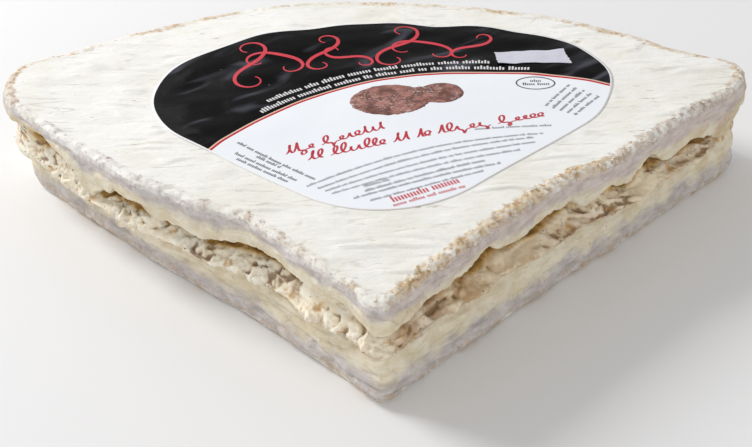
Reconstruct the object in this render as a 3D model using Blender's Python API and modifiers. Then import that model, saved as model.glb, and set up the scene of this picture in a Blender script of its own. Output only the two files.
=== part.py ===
"""Quarter of a large soft-ripened cheese, split through its thickness and filled with truffle cream.

The quarter stands on its flat underside. Its tip, the middle of the whole wheel, points to -Y and
its round rind to +Y; the two cuts run from the tip at 45 degrees to either side. From below: the
lower slice, the cream filling that shows torn and lumpy at the cuts, the upper slice with its
mould crust, a film label lying on the crust, and a torn price sticker lying on the label.

Lengths in the constants and functions are millimetres. Each mesh is made in metres.
"""
import math

import bpy
import numpy as np

MM = 0.001
GAP = 0.3

# The cut quarter, seen from above
WHEEL_RADIUS = 185.0
QUARTER_HALF_ANGLE = math.radians(45)
TIP_FILLET = 4.5
END_FILLET = 18.0
TIP_X = 1.5
TIP_Y = -95.5
MIDDLE_Y = 5.0

# Heights above the surface the cheese lies on
LOWER_SLICE_TOP = 15.5
FILLING_TOP = 26.5
CRUST_TOP = 37.6

# Rounding of the slices' rims
CUT_RIM = 1.8
RIND_RIM = 5.0
FOOT_RIM = 3.0
LIP_THICKNESS = 1.6

# Room between the filling and the upper slice's lip: below it, and behind it
CRACK = 2.0
CLEARANCE = 1.5

# Rings of the upper slice's underside, as shares of the way out from the middle. It is level
# inside the first one and slopes to the lip outside it.
CEILING_SHARES = (0.85, 0.45, 0.12)
LEVEL_SHARE = CEILING_SHARES[0]

# Steps of the meshes
CUT_STEPS = 46
RIND_STEPS = 32
TIP_STEPS = 4
END_STEPS = 5

# The label, seen from above: a rounded sector
LABEL_RADIUS = 132.5
LABEL_HALF_ANGLE = math.radians(47.5)
LABEL_TIP_FILLET = 37.0
LABEL_END_FILLET = 38.5
LABEL_APEX = (5.5, -63.5)
LABEL_TURN = math.radians(2.6)
LABEL_THICKNESS = 0.5
LABEL_RINGS = 7
LABEL_STEPS = 60

# The torn sticker, seen from above
STICKER_CENTRE = (53.0, 41.5)
STICKER_SIZE = (25.0, 8.0)
STICKER_TURN = math.radians(-4)
STICKER_THICKNESS = 0.4

# Along the outline, distance from the tip is positive on the right cut and negative on the left
# cut. Each row holds that distance and a value; values between rows are eased.

# Height of the upper slice's lower lip, which hangs over the filling
LIP_HEIGHT = (
    (-330, 27.0), (-200, 30.0), (-178, 31.5), (-160, 31.0), (-150, 31.5), (-140, 29.7), (-132, 27.8),
    (-124, 21.0), (-115, 25.5), (-108, 28.4), (-98, 29.0), (-90, 24.0), (-80, 25.3), (-74, 24.6),
    (-66, 26.3), (-58, 28.2), (-42, 28.7), (-33, 28.0), (-26, 26.5), (-17, 28.5), (-7, 27.2), (0, 24.9),
    (10, 26.0), (18, 27.5), (27, 26.0), (34, 27.6), (45, 31.0), (52, 27.3), (60, 27.0), (72, 29.8),
    (82, 28.3), (90, 23.5), (99, 27.7), (105, 26.5), (117, 30.8), (129, 24.0), (140, 26.8), (147, 24.8),
    (157, 20.5), (168, 26.8), (200, 27.5), (330, 27.0),
)

# How far the sagging paste stands out past the straight cut
SIDE_SAG = (
    (-330, 2.7), (-280, 4.8), (-235, 4.8), (-205, 3.0), (-182, 4.5), (-163, 8.0), (-145, 8.6), (-130, 8.2),
    (-102, 8.2), (-81, 3.9), (-55, -2.0), (-33, -1.4), (-15, -1.4), (0, 0.0), (15, -1.2), (45, -2.3),
    (80, -2.5), (103, 1.4), (133, 1.2), (160, 2.8), (180, 0.5), (200, -8.0), (225, -5.0), (260, -1.8),
    (330, 2.7),
)

# Rounding of the crust's rim: crisp along the cuts, full along the old rind
CRUST_RIM = (
    (-330, RIND_RIM), (-200, RIND_RIM), (-175, CUT_RIM), (175, CUT_RIM), (200, RIND_RIM), (330, RIND_RIM),
)

# How far the filling stands back under the lip
FILLING_RECESS = (
    (-330, 1.5), (-190, 0.5), (-170, 0.8), (-155, 3.0), (-140, 3.0), (-128, 6.0), (-112, 6.5), (-98, 3.5),
    (-84, 7.0), (-72, 4.0), (-62, 5.5), (-48, 4.0), (-30, 1.0), (-10, 2.0), (0, 2.5), (20, 4.0), (30, 2.0),
    (44, 5.5), (52, 3.5), (68, 6.5), (80, 6.0), (92, 1.5), (104, 1.8), (115, 6.0), (128, 2.0), (141, 6.5),
    (155, 3.0), (168, 7.0), (185, 3.0), (330, 1.5),
)

# How far the filling swells back out below the recess
FILLING_SWELL = (
    (-330, 0.5), (-180, 1.5), (-160, 1.0), (-120, 0.5), (-100, 0.5), (-75, 1.5), (-45, 2.0), (-20, 2.5),
    (0, 0.0), (30, 1.0), (60, 0.5), (98, 2.5), (120, 1.0), (145, 1.0), (190, 1.0), (330, 0.5),
)


def eased(distance, rows):
    """Value at each distance, eased between neighbouring rows so that the slope is 0 at each row."""
    stations = np.array([row[0] for row in rows], float)
    values = np.array([row[1] for row in rows], float)
    place = np.clip(np.searchsorted(stations, distance) - 1, 0, len(rows) - 2)
    share = (distance - stations[place]) / (stations[place + 1] - stations[place])
    share = np.clip(share, 0.0, 1.0)
    share = share * share * (3.0 - 2.0 * share)
    return values[place] + share * (values[place + 1] - values[place])


def wave(x, y, length, turn, phase):
    """Sine wave of the given length whose crests lie across the direction `turn`."""
    along = x * math.cos(turn) + y * math.sin(turn)
    return np.sin(2.0 * math.pi * along / length + phase)


def rounded_sector(radius, half_angle, tip_fillet, end_fillet, counts):
    """Outline of a sector with rounded corners, its apex at the origin, opening toward +Y.

    The heading of the outline is steady along the two straight sides and turns at an even rate
    along every arc, so the points are the running sum of (cos, sin) of the heading. `counts`
    holds the steps along half the tip fillet, a side, an end fillet and the big arc. The result
    runs counter-clockwise from the tip: x, y, outward normal x and y, and the length so far.
    """
    lean = math.asin(end_fillet / (radius - end_fillet))
    reach = math.sqrt((radius - end_fillet) ** 2 - end_fillet ** 2)
    tip_turn = math.pi / 2 - half_angle
    end_turn = math.pi / 2 + lean
    arc_turn = 2.0 * (half_angle - lean)
    side = reach - tip_fillet / math.tan(half_angle)
    lengths = [tip_fillet * tip_turn, side, end_fillet * end_turn, radius * arc_turn,
               end_fillet * end_turn, side, tip_fillet * tip_turn]
    turns = [tip_turn, 0.0, end_turn, arc_turn, end_turn, 0.0, tip_turn]
    length_marks = np.concatenate([[0.0], np.cumsum(lengths)])
    heading_marks = np.concatenate([[0.0], np.cumsum(turns)])

    fine = np.linspace(0.0, length_marks[-1], 8001)
    heading = np.interp(fine, length_marks, heading_marks)
    middle = 0.5 * (heading[1:] + heading[:-1])
    step = fine[1]
    fine_x = np.concatenate([[0.0], np.cumsum(np.cos(middle) * step)])
    fine_y = np.concatenate([[0.0], np.cumsum(np.sin(middle) * step)])
    fine_y += tip_fillet / math.sin(half_angle) - tip_fillet

    tip_steps, side_steps, end_steps, arc_steps = counts
    steps = [tip_steps, side_steps, end_steps, arc_steps, end_steps, side_steps, tip_steps]
    step_marks = np.concatenate([[0], np.cumsum(steps)])
    length = np.interp(np.arange(step_marks[-1]), step_marks, length_marks)
    turn = np.interp(length, fine, heading)
    x = np.interp(length, fine, fine_x)
    y = np.interp(length, fine, fine_y)
    return x, y, np.sin(turn), -np.cos(turn), length, length_marks[-1]


class Quarter:
    """The quarter's outline and the values that change along it, one entry for each step."""

    def __init__(self):
        counts = (TIP_STEPS, CUT_STEPS, END_STEPS, RIND_STEPS)
        x, y, normal_x, normal_y, length, total = rounded_sector(
            WHEEL_RADIUS, QUARTER_HALF_ANGLE, TIP_FILLET, END_FILLET, counts)
        self.x = x + TIP_X
        self.y = y + TIP_Y
        self.normal_x = normal_x
        self.normal_y = normal_y
        self.from_tip = np.where(length > total / 2, length - total, length)
        self.lip = eased(self.from_tip, LIP_HEIGHT)
        self.sag = eased(self.from_tip, SIDE_SAG)
        self.recess = eased(self.from_tip, FILLING_RECESS)
        self.swell = eased(self.from_tip, FILLING_SWELL)
        self.rim = eased(self.from_tip, CRUST_RIM)
        self.wobble = 0.5 * np.sin(length / 5.3) + 0.4 * np.sin(length / 9.1 + 1.0)

    def moved_out(self, distance):
        """The outline moved outward by `distance`, which may change along it."""
        return self.x + self.normal_x * distance, self.y + self.normal_y * distance


def crust_height(x, y):
    """Height of the crust: long swells, and a droop at the tip and near the sagging left cut."""
    swell = 0.45 * wave(x, y, 92.0, 0.5, 1.1) + 0.3 * wave(x, y, 61.0, 1.9, 0.3)
    from_left_cut = ((x - TIP_X) + (y - TIP_Y)) / math.sqrt(2.0)
    along_left_cut = (-(x - TIP_X) + (y - TIP_Y)) / math.sqrt(2.0)
    droop = 1.5 * np.exp(-(from_left_cut / 16.0) ** 2 - ((along_left_cut - 125.0) / 32.0) ** 2)
    droop += 0.8 * np.exp(-((x - TIP_X) / 14.0) ** 2 - ((y - TIP_Y) / 12.0) ** 2)
    return CRUST_TOP + swell - droop


def globe_rows(name, columns, rows):
    """A globe primitive, and the column and row of each of its vertices; the poles are rows 0 and -1."""
    bpy.ops.mesh.primitive_uv_sphere_add(segments=columns, ring_count=rows - 1, radius=1.0)
    globe = bpy.context.object
    globe.name = name
    globe.data.name = name
    places = np.empty(len(globe.data.vertices) * 3, np.float32)
    globe.data.vertices.foreach_get("co", places)
    x, y, z = places.reshape(-1, 3).astype(float).T
    row = np.rint(np.arccos(np.clip(z, -1.0, 1.0)) / math.pi * (rows - 1)).astype(int)
    column = np.rint(np.arctan2(y, x) / (2.0 * math.pi) * columns).astype(int) % columns
    return globe, column, row


def shaped_globe(name, sections):
    """Closed body lofted through `sections`: each is x, y, z around the outline, from top to bottom."""
    stack = np.array([np.stack(np.broadcast_arrays(*section)) for section in sections])
    rows = len(sections) + 2
    globe, column, row = globe_rows(name, stack.shape[2], rows)
    top_pole = stack[0].mean(axis=1)
    bottom_pole = stack[-1].mean(axis=1)
    inner = np.clip(row - 1, 0, len(sections) - 1)
    points = stack[inner, :, column]
    points[row == 0] = top_pole
    points[row == rows - 1] = bottom_pole
    globe.data.vertices.foreach_set("co", (points * MM).astype(np.float32).ravel())
    globe.data.update()
    return globe


def shrunk(x, y, share):
    """Outline drawn in toward the quarter's middle: share 1 is the outline, share 0 the middle."""
    return x * share, MIDDLE_Y + (y - MIDDLE_Y) * share


def upper_slice(quarter):
    """Upper slice: domed crust, rounded rim, sagging cut face, and a lip that hangs over the filling."""
    sections = []
    rim_x, rim_y = quarter.moved_out(quarter.sag - quarter.rim)
    for share in (0.12, 0.36, 0.58, 0.76, 0.89, 0.96, 1.0):
        x, y = shrunk(rim_x, rim_y, share)
        sections.append((x, y, crust_height(x, y)))
    rim_height = crust_height(rim_x, rim_y)
    for turn in (math.radians(40), math.radians(90)):
        x, y = quarter.moved_out(quarter.sag - quarter.rim * (1.0 - math.sin(turn)))
        sections.append((x, y, rim_height - quarter.rim * (1.0 - math.cos(turn))))
    face_top = rim_height - quarter.rim
    for share, out in ((0.35, 0.5), (0.7, 0.6)):
        x, y = quarter.moved_out(quarter.sag + out + share * quarter.wobble)
        sections.append((x, y, face_top + share * (quarter.lip + 0.8 - face_top)))
    x, y = quarter.moved_out(quarter.sag + 0.4 + quarter.wobble)
    sections.append((x, y, quarter.lip + 0.4))
    lip_x, lip_y = quarter.moved_out(quarter.sag + quarter.wobble - LIP_THICKNESS)
    sections.append((lip_x, lip_y, quarter.lip))
    for share in CEILING_SHARES:
        x, y = shrunk(lip_x, lip_y, share)
        sections.append((x, y, ceiling_height(quarter, share)))
    return shaped_globe("top_brie", sections)


def ceiling_height(quarter, share):
    """Height of the upper slice's underside: level inside, and joined to the lip by a straight slope."""
    slope = max(0.0, (share - LEVEL_SHARE) / (1.0 - LEVEL_SHARE))
    return FILLING_TOP + slope * (quarter.lip - FILLING_TOP)


def filling(quarter):
    """Cream filling: it stays under the upper slice, stands back below the lip and swells lower down."""
    edge_x, edge_y = quarter.moved_out(quarter.sag + quarter.wobble - LIP_THICKNESS)
    distance = np.hypot(edge_x, edge_y - MIDDLE_Y)
    recess = quarter.recess + CLEARANCE
    shoulder = 1.0 - recess / distance
    slope = (shoulder - LEVEL_SHARE) / (1.0 - LEVEL_SHARE)
    shoulder_height = FILLING_TOP + slope * (quarter.lip - FILLING_TOP) - GAP - CRACK * slope
    floor = LOWER_SLICE_TOP + GAP

    sections = []
    for share in reversed(CEILING_SHARES):
        x, y = shrunk(edge_x, edge_y, share)
        sections.append((x, y, FILLING_TOP - 3.0 * GAP))
    x, y = shrunk(edge_x, edge_y, shoulder)
    sections.append((x, y, shoulder_height))
    swell = quarter.swell + LIP_THICKNESS + 0.2 * quarter.wobble
    for share, fullness in ((0.25, 0.1), (0.5, 0.6), (0.75, 1.0), (0.93, 0.8)):
        height = shoulder_height + share * (floor - shoulder_height)
        below_lip = np.clip((quarter.lip - CRACK - height) / 2.0, 0.0, 1.0)
        inward = recess - fullness * below_lip * (recess + swell)
        x, y = shrunk(edge_x, edge_y, 1.0 - inward / distance)
        sections.append((x, y, height))
    for share in (1.0 - 1.0 / distance, 0.6, 0.15):
        x, y = shrunk(edge_x, edge_y, share)
        sections.append((x, y, floor))
    return shaped_globe("truffle_filling", sections)


def lower_slice(quarter):
    """Lower slice: level top, cut face standing back a little, and a rounded foot with a flat underside."""
    sections = []
    for share in (0.15, 0.6, 0.92):
        x, y = shrunk(quarter.x, quarter.y, share)
        sections.append((x, y, LOWER_SLICE_TOP))
    for height, out in ((LOWER_SLICE_TOP, -2.5), (LOWER_SLICE_TOP - 1.2, -1.5), (9.0, -0.6)):
        x, y = quarter.moved_out(0.5 * quarter.sag + out + 0.6 * quarter.wobble)
        sections.append((x, y, height))
    for turn in (0.0, math.radians(45), math.radians(90)):
        x, y = quarter.moved_out(0.3 * quarter.sag - FOOT_RIM * (1.0 - math.cos(turn)))
        sections.append((x, y, FOOT_RIM * (1.0 - math.sin(turn))))
    for share in (0.6, 0.15):
        x, y = shrunk(quarter.x, quarter.y, share)
        sections.append((x, y, 0.0))
    return shaped_globe("bottom_brie", sections)


def label():
    """Film label: a rounded sector that follows the swells of the crust, made as a thin closed shell."""
    quarter_steps = LABEL_STEPS // 6
    counts = (quarter_steps // 2, quarter_steps, quarter_steps, quarter_steps)
    outline_x, outline_y = rounded_sector(
        LABEL_RADIUS, LABEL_HALF_ANGLE, LABEL_TIP_FILLET, LABEL_END_FILLET, counts)[:2]
    middle_y = 0.6 * LABEL_RADIUS
    shares = np.linspace(0.1, 1.0, LABEL_RINGS)
    rings = []
    for share in shares:
        x = outline_x * share
        y = middle_y + (outline_y - middle_y) * share
        turned_x = LABEL_APEX[0] + x * math.cos(LABEL_TURN) - y * math.sin(LABEL_TURN)
        turned_y = LABEL_APEX[1] + x * math.sin(LABEL_TURN) + y * math.cos(LABEL_TURN)
        rings.append((turned_x, turned_y, crust_height(turned_x, turned_y) + GAP))
    top = [(x, y, z + LABEL_THICKNESS) for x, y, z in rings]
    return shaped_globe("label", top + rings[::-1])


def sticker():
    """Torn paper sticker: a thin strip with uneven ends that follows the label under it."""
    columns = 12
    bpy.ops.mesh.primitive_grid_add(x_subdivisions=columns, y_subdivisions=4, size=1.0)
    strip = bpy.context.object
    strip.name = "price_sticker"
    strip.data.name = "price_sticker"
    for vertex in strip.data.vertices:
        u, v = vertex.co.x, vertex.co.y
        x = u * (STICKER_SIZE[0] + 2.0 * math.sin(5.0 * v) * (1.0 if u > 0 else -1.0))
        y = v * (STICKER_SIZE[1] + 0.8 * math.sin(9.0 * u))
        world_x = STICKER_CENTRE[0] + x * math.cos(STICKER_TURN) - y * math.sin(STICKER_TURN)
        world_y = STICKER_CENTRE[1] + x * math.sin(STICKER_TURN) + y * math.cos(STICKER_TURN)
        height = crust_height(world_x, world_y) + GAP + LABEL_THICKNESS + GAP + 0.25
        vertex.co = (world_x * MM, world_y * MM, height * MM)
    shell = strip.modifiers.new("Thickness", "SOLIDIFY")
    shell.thickness = STICKER_THICKNESS * MM
    shell.offset = 1.0
    return strip


def material(name, colour, roughness):
    """Principled material for one part; nothing on a cheese is metallic."""
    made = bpy.data.materials.new(name)
    made.use_nodes = True
    shader = made.node_tree.nodes["Principled BSDF"]
    shader.inputs["Base Color"].default_value = (*colour, 1.0)
    shader.inputs["Roughness"].default_value = roughness
    shader.inputs["Metallic"].default_value = 0.0
    return made


def main():
    for old in list(bpy.data.objects):
        bpy.data.objects.remove(old)
    parts = bpy.data.collections.new("brie quarter")
    bpy.context.scene.collection.children.link(parts)

    quarter = Quarter()
    finishes = (
        (upper_slice(quarter), material("crust", (0.90, 0.89, 0.85), 0.75)),
        (filling(quarter), material("truffle cream", (0.72, 0.62, 0.44), 0.60)),
        (lower_slice(quarter), material("paste", (0.74, 0.65, 0.48), 0.70)),
        (label(), material("label film", (0.02, 0.02, 0.025), 0.30)),
        (sticker(), material("sticker paper", (0.63, 0.64, 0.73), 0.80)),
    )
    for part, finish in finishes:
        part.data.materials.clear()
        part.data.materials.append(finish)
        part.data.shade_smooth()
        for holder in list(part.users_collection):
            holder.objects.unlink(part)
        parts.objects.link(part)


main()
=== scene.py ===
# %% [markdown]
# A quarter of a filled brie wheel, dressed in Blender.
#
# A cheese looks simple, but nothing on it is flat or of one colour: the crust is wrinkled mould,
# the cuts are sticky paste that sags, and the filling is torn. The solids of the frame give the
# true sizes. Here each soft layer is worked out again as one fine surface with the same main
# shape, and gets its wrinkles, lumps and colours. The label and its print are thin sheets.
# Lengths are millimetres while a shape is worked out, and metres in the finished mesh.

# %% Load the frame
import math

import bpy
import numpy as np
from mathutils import Matrix


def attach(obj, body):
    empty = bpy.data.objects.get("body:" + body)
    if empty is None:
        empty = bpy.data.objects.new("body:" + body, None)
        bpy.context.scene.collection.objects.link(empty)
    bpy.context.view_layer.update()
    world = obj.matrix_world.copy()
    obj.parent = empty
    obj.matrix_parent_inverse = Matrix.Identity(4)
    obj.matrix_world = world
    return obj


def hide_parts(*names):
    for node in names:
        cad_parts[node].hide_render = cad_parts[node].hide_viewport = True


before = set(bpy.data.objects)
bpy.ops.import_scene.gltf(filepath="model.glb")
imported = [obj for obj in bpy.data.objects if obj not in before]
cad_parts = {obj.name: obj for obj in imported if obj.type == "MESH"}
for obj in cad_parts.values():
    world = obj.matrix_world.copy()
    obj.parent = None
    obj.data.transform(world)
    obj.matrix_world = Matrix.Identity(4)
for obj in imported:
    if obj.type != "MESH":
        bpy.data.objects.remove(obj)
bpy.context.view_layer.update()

print("nodes:", ", ".join(sorted(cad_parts)))

# %% [markdown]
# The outline of the cut quarter, seen from above, is a sector with rounded corners. It could be
# traced with points, but it is simpler to steer it: the heading stays still along a straight side
# and turns at an even rate along an arc, and the outline is the running sum of the small steps.

# %% The outline of a rounded sector
MM = 0.001


def rounded_sector(radius, half_angle, tip_fillet, end_fillet, counts):
    """Sector with rounded corners, apex at the origin, opening toward +Y, run counter-clockwise.

    The points are the running sum of (cos, sin) of the heading, which turns evenly on each arc.
    `counts` holds the steps along half the tip fillet, a side, an end fillet and the big arc.
    Gives x, y, the outward normal's x and y, the length so far and the whole length.
    """
    lean = math.asin(end_fillet / (radius - end_fillet))
    reach = math.sqrt((radius - end_fillet) ** 2 - end_fillet ** 2)
    tip_turn = math.pi / 2 - half_angle
    end_turn = math.pi / 2 + lean
    arc_turn = 2.0 * (half_angle - lean)
    side = reach - tip_fillet / math.tan(half_angle)
    lengths = [tip_fillet * tip_turn, side, end_fillet * end_turn, radius * arc_turn,
               end_fillet * end_turn, side, tip_fillet * tip_turn]
    turns = [tip_turn, 0.0, end_turn, arc_turn, end_turn, 0.0, tip_turn]
    length_marks = np.concatenate([[0.0], np.cumsum(lengths)])
    heading_marks = np.concatenate([[0.0], np.cumsum(turns)])

    fine = np.linspace(0.0, length_marks[-1], 8001)
    heading = np.interp(fine, length_marks, heading_marks)
    middle = 0.5 * (heading[1:] + heading[:-1])
    fine_x = np.concatenate([[0.0], np.cumsum(np.cos(middle) * fine[1])])
    fine_y = np.concatenate([[0.0], np.cumsum(np.sin(middle) * fine[1])])
    fine_y += tip_fillet / math.sin(half_angle) - tip_fillet

    tip_steps, side_steps, end_steps, arc_steps = counts
    steps = [tip_steps, side_steps, end_steps, arc_steps, end_steps, side_steps, tip_steps]
    step_marks = np.concatenate([[0], np.cumsum(steps)])
    length = np.interp(np.arange(step_marks[-1]), step_marks, length_marks)
    turn = np.interp(length, fine, heading)
    x = np.interp(length, fine, fine_x)
    y = np.interp(length, fine, fine_y)
    return x, y, np.sin(turn), -np.cos(turn), length, length_marks[-1]


def carried(x, y, turn, place):
    """Points turned counter-clockwise by `turn`, then moved so that the origin comes to `place`."""
    return (place[0] + x * math.cos(turn) - y * math.sin(turn),
            place[1] + x * math.sin(turn) + y * math.cos(turn))


print("a quarter turn carries (1, 0) to", np.round(carried(1.0, 0.0, math.pi / 2, (0.0, 0.0)), 3))


# %% [markdown]
# Wrinkles and lumps need a random but smooth field that is the same on every run. Blender has
# noise textures, but a field of our own can be worked out for whole arrays at once, so that both
# the shape and the paint of a surface can follow it.

# %% Smooth random fields
def scrambled(x, y, z, seed):
    """One well mixed 32-bit number for each whole-number place: multiply, shift and flip bits."""
    mixed = x.astype(np.uint64) * np.uint64(73856093)
    mixed ^= y.astype(np.uint64) * np.uint64(19349663)
    mixed ^= z.astype(np.uint64) * np.uint64(83492791)
    mixed ^= np.uint64(seed * 2654435761 % 2 ** 32)
    mixed &= np.uint64(0xFFFFFFFF)
    for shift, factor in ((15, 2246822519), (13, 3266489917)):
        mixed = (mixed ^ (mixed >> np.uint64(shift))) * np.uint64(factor) & np.uint64(0xFFFFFFFF)
    return mixed ^ (mixed >> np.uint64(16))


def noise(x, y, z=0.0, seed=0):
    """Gradient noise, about -1 to 1: slopes drawn at whole-number corners, blended inside the cell."""
    x, y, z = np.broadcast_arrays(np.asarray(x, float), np.asarray(y, float), np.asarray(z, float))
    corner = [np.floor(axis).astype(np.int64) for axis in (x, y, z)]
    inside = [axis - low for axis, low in zip((x, y, z), corner)]
    ease = [part ** 3 * (part * (part * 6.0 - 15.0) + 10.0) for part in inside]
    total = np.zeros(x.shape)
    for number in range(8):
        step = [(number >> axis) & 1 for axis in range(3)]
        drawn = scrambled(corner[0] + step[0], corner[1] + step[1], corner[2] + step[2], seed)
        slope = np.zeros(x.shape)
        weight = np.ones(x.shape)
        for axis in range(3):
            pull = ((drawn >> np.uint64(10 * axis)) & np.uint64(1023)).astype(float) / 511.5 - 1.0
            slope += pull * (inside[axis] - step[axis])
            weight *= ease[axis] if step[axis] else 1.0 - ease[axis]
        total += weight * slope
    return 1.6 * total


def smooth(value, low, high):
    """Soft S from 0 at `low` to 1 at `high`: 3 s^2 - 2 s^3 of the share s of the way."""
    share = np.clip((value - low) / (high - low), 0.0, 1.0)
    return share * share * (3.0 - 2.0 * share)


def eased(distance, rows):
    """Value at each distance, from rows of distance and value, with a soft S between two rows."""
    stations, values = np.array(rows, float).T
    place = np.clip(np.searchsorted(stations, distance) - 1, 0, len(rows) - 2)
    share = smooth(distance, stations[place], stations[place + 1])
    return values[place] + share * (values[place + 1] - values[place])


def bell(value, middle, width):
    """1 at `middle` and less to both sides: exp(-d * d), where d is the way off in widths."""
    return np.exp(-((value - middle) / width) ** 2)


def grain(place, wide, tall, seed):
    """Noise at places (x, y, z), with features `wide` mm across and `tall` mm high."""
    x, y, z = place
    return noise(x / wide, y / wide, z / tall, seed=seed)


print("noise at four places in a row:", noise(np.arange(4) + 0.5, 0.5).round(2))


# %% [markdown]
# The same driving sizes as the solids: the quarter's outline, the heights of its layers, and
# tables that say, by the distance from the tip along each cut, where the paste sags and how low
# the upper slice's lip hangs. Distance counts up along the right cut and down along the left one.

# %% Sizes of the quarter
WHEEL_RADIUS, TIP_FILLET, END_FILLET = 185.0, 4.5, 18.0
TIP_X, TIP_Y, MIDDLE_Y = 1.5, -95.5, 5.0
LOWER_SLICE_TOP, FILLING_TOP, CRUST_TOP = 15.5, 26.5, 37.6
CUT_RIM, RIND_RIM, FOOT_RIM = 1.8, 5.0, 3.0
LIP_THICKNESS, CRACK, CLEARANCE = 1.6, 2.0, 1.5
LEVEL_SHARE = 0.85

LIP_HEIGHT = (
    (-330, 27.0), (-200, 30.0), (-178, 31.5), (-160, 31.0), (-150, 31.5), (-140, 29.7),
    (-132, 27.8), (-124, 21.0), (-115, 25.5), (-108, 28.4), (-98, 29.0), (-90, 24.0), (-80, 25.3),
    (-74, 24.6), (-66, 26.3), (-58, 28.2), (-42, 28.7), (-33, 28.0), (-26, 26.5), (-17, 28.5),
    (-7, 27.2), (0, 24.9), (10, 26.0), (18, 27.5), (27, 26.0), (34, 27.6), (45, 31.0), (52, 27.3),
    (60, 27.0), (72, 29.8), (82, 28.3), (90, 23.5), (99, 27.7), (105, 26.5), (117, 30.8),
    (129, 24.0), (140, 26.8), (147, 24.8), (157, 20.5), (168, 26.8), (200, 27.5), (330, 27.0),
)
SIDE_SAG = (
    (-330, 2.7), (-280, 4.8), (-235, 4.8), (-205, 3.0), (-182, 6.0), (-163, 8.0), (-145, 8.6),
    (-130, 8.2), (-102, 8.2), (-81, 3.9), (-55, -2.0), (-33, -1.4), (-15, -1.4), (0, 0.0),
    (15, -1.2), (45, -2.3), (80, -2.5), (103, 1.4), (133, 1.2), (160, 2.8), (174, 0.5),
    (192, -7.0), (207, -8.5), (228, -5.5), (260, -1.8), (330, 2.7),
)
CRUST_RIM = (
    (-330, RIND_RIM), (-200, RIND_RIM), (-175, CUT_RIM), (175, CUT_RIM), (200, RIND_RIM),
    (330, RIND_RIM),
)
FILLING_RECESS = (
    (-330, 1.5), (-190, 0.5), (-170, 0.8), (-155, 3.0), (-140, 3.0), (-128, 6.0), (-112, 6.5),
    (-98, 3.5), (-84, 7.0), (-72, 4.0), (-62, 5.5), (-48, 4.0), (-30, 1.0), (-10, 2.0), (0, 2.5),
    (20, 4.0), (30, 2.0), (44, 5.5), (52, 3.5), (68, 6.5), (80, 6.0), (92, 1.5), (104, 1.8),
    (115, 6.0), (128, 2.0), (141, 6.5), (155, 3.0), (168, 7.0), (185, 3.0), (330, 1.5),
)
FILLING_SWELL = (
    (-330, 0.5), (-180, 1.5), (-160, 1.0), (-120, 0.5), (-100, 0.5), (-75, 1.5), (-45, 2.0),
    (-20, 2.5), (0, 0.0), (30, 1.0), (60, 0.5), (98, 2.5), (120, 1.0), (145, 1.0), (190, 1.0),
    (330, 0.5),
)


class Quarter:
    """The quarter's outline in fine steps, and the values that change along it."""

    def __init__(self, cut_steps, rind_steps, end_steps, tip_steps):
        x, y, self.normal_x, self.normal_y, length, total = rounded_sector(
            WHEEL_RADIUS, math.radians(45), TIP_FILLET, END_FILLET,
            (tip_steps, cut_steps, end_steps, rind_steps))
        self.x, self.y = x + TIP_X, y + TIP_Y
        self.from_tip = np.where(length > total / 2, length - total, length)
        self.lip, self.sag, self.recess, self.swell, self.rim = (
            eased(self.from_tip, table)
            for table in (LIP_HEIGHT, SIDE_SAG, FILLING_RECESS, FILLING_SWELL, CRUST_RIM))
        self.wobble = 0.5 * np.sin(length / 5.3) + 0.4 * np.sin(length / 9.1 + 1.0)
        self.wobble *= smooth(np.abs(self.from_tip), 0.0, 9.0)
        self.on_cut = 1.0 - smooth(np.abs(self.from_tip), 172.0, 188.0)
        self.right = smooth(self.from_tip, -4.0, 10.0) * self.on_cut

    def moved_out(self, distance):
        """The outline moved along its normal by `distance`, which may change along it."""
        return self.x + self.normal_x * distance, self.y + self.normal_y * distance


quarter = Quarter(cut_steps=330, rind_steps=200, end_steps=36, tip_steps=10)
print("columns around the outline:", len(quarter.x))


# %% [markdown]
# The crust's height is long swells and two droops, the same as in the solids, so that everything
# that lies on it can ask for the height at any place.

# %% Height of the crust and drawing an outline in
def wave(x, y, length, turn, phase):
    """Sine wave of the given length that travels along the direction `turn`."""
    along = x * math.cos(turn) + y * math.sin(turn)
    return np.sin(2.0 * math.pi * along / length + phase)


def crust_height(x, y):
    """Long swells, less a droop near the sagging left cut and one at the tip."""
    swell = 0.45 * wave(x, y, 92.0, 0.5, 1.1) + 0.3 * wave(x, y, 61.0, 1.9, 0.3)
    from_left_cut = ((x - TIP_X) + (y - TIP_Y)) / math.sqrt(2.0)
    along_left_cut = (-(x - TIP_X) + (y - TIP_Y)) / math.sqrt(2.0)
    droop = 1.5 * np.exp(-(from_left_cut / 16.0) ** 2 - ((along_left_cut - 125.0) / 32.0) ** 2)
    droop += 0.8 * np.exp(-((x - TIP_X) / 14.0) ** 2 - ((y - TIP_Y) / 12.0) ** 2)
    return CRUST_TOP + swell - droop


def shrunk(x, y, share):
    """Outline drawn in toward the quarter's middle: share 1 is the outline, share 0 the middle."""
    return x * share, MIDDLE_Y + (y - MIDDLE_Y) * share


print("crust at the middle is", round(float(crust_height(0.0, MIDDLE_Y)), 1), "mm high")


# %% [markdown]
# Each layer is one closed body: rows of points that run around the outline, from the middle of
# the top, out to the rim, down the side and back to the middle of the underside. A sphere could be
# pushed into this shape, but a grid that is made for it puts the points where the detail is.
# Relief is added by moving each point along the surface's own normal. Numbers painted on the
# points, such as how near the rim they are, tell the material what to show there.

# %% Closed bodies from rows of points
def mesh_object(name, points, faces, smooth_faces=False):
    """Object at the origin, unturned and unscaled, from points in mm and faces of their numbers."""
    mesh = bpy.data.meshes.new(name)
    mesh.from_pydata((np.asarray(points, float) * MM).tolist(), [], faces)
    mesh.polygons.foreach_set("use_smooth", np.full(len(mesh.polygons), smooth_faces))
    mesh.update()
    body = bpy.data.objects.new(name, mesh)
    bpy.context.scene.collection.objects.link(body)
    print(f"{name}: {sum(len(face) - 2 for face in faces)} triangles")
    return body


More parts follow.
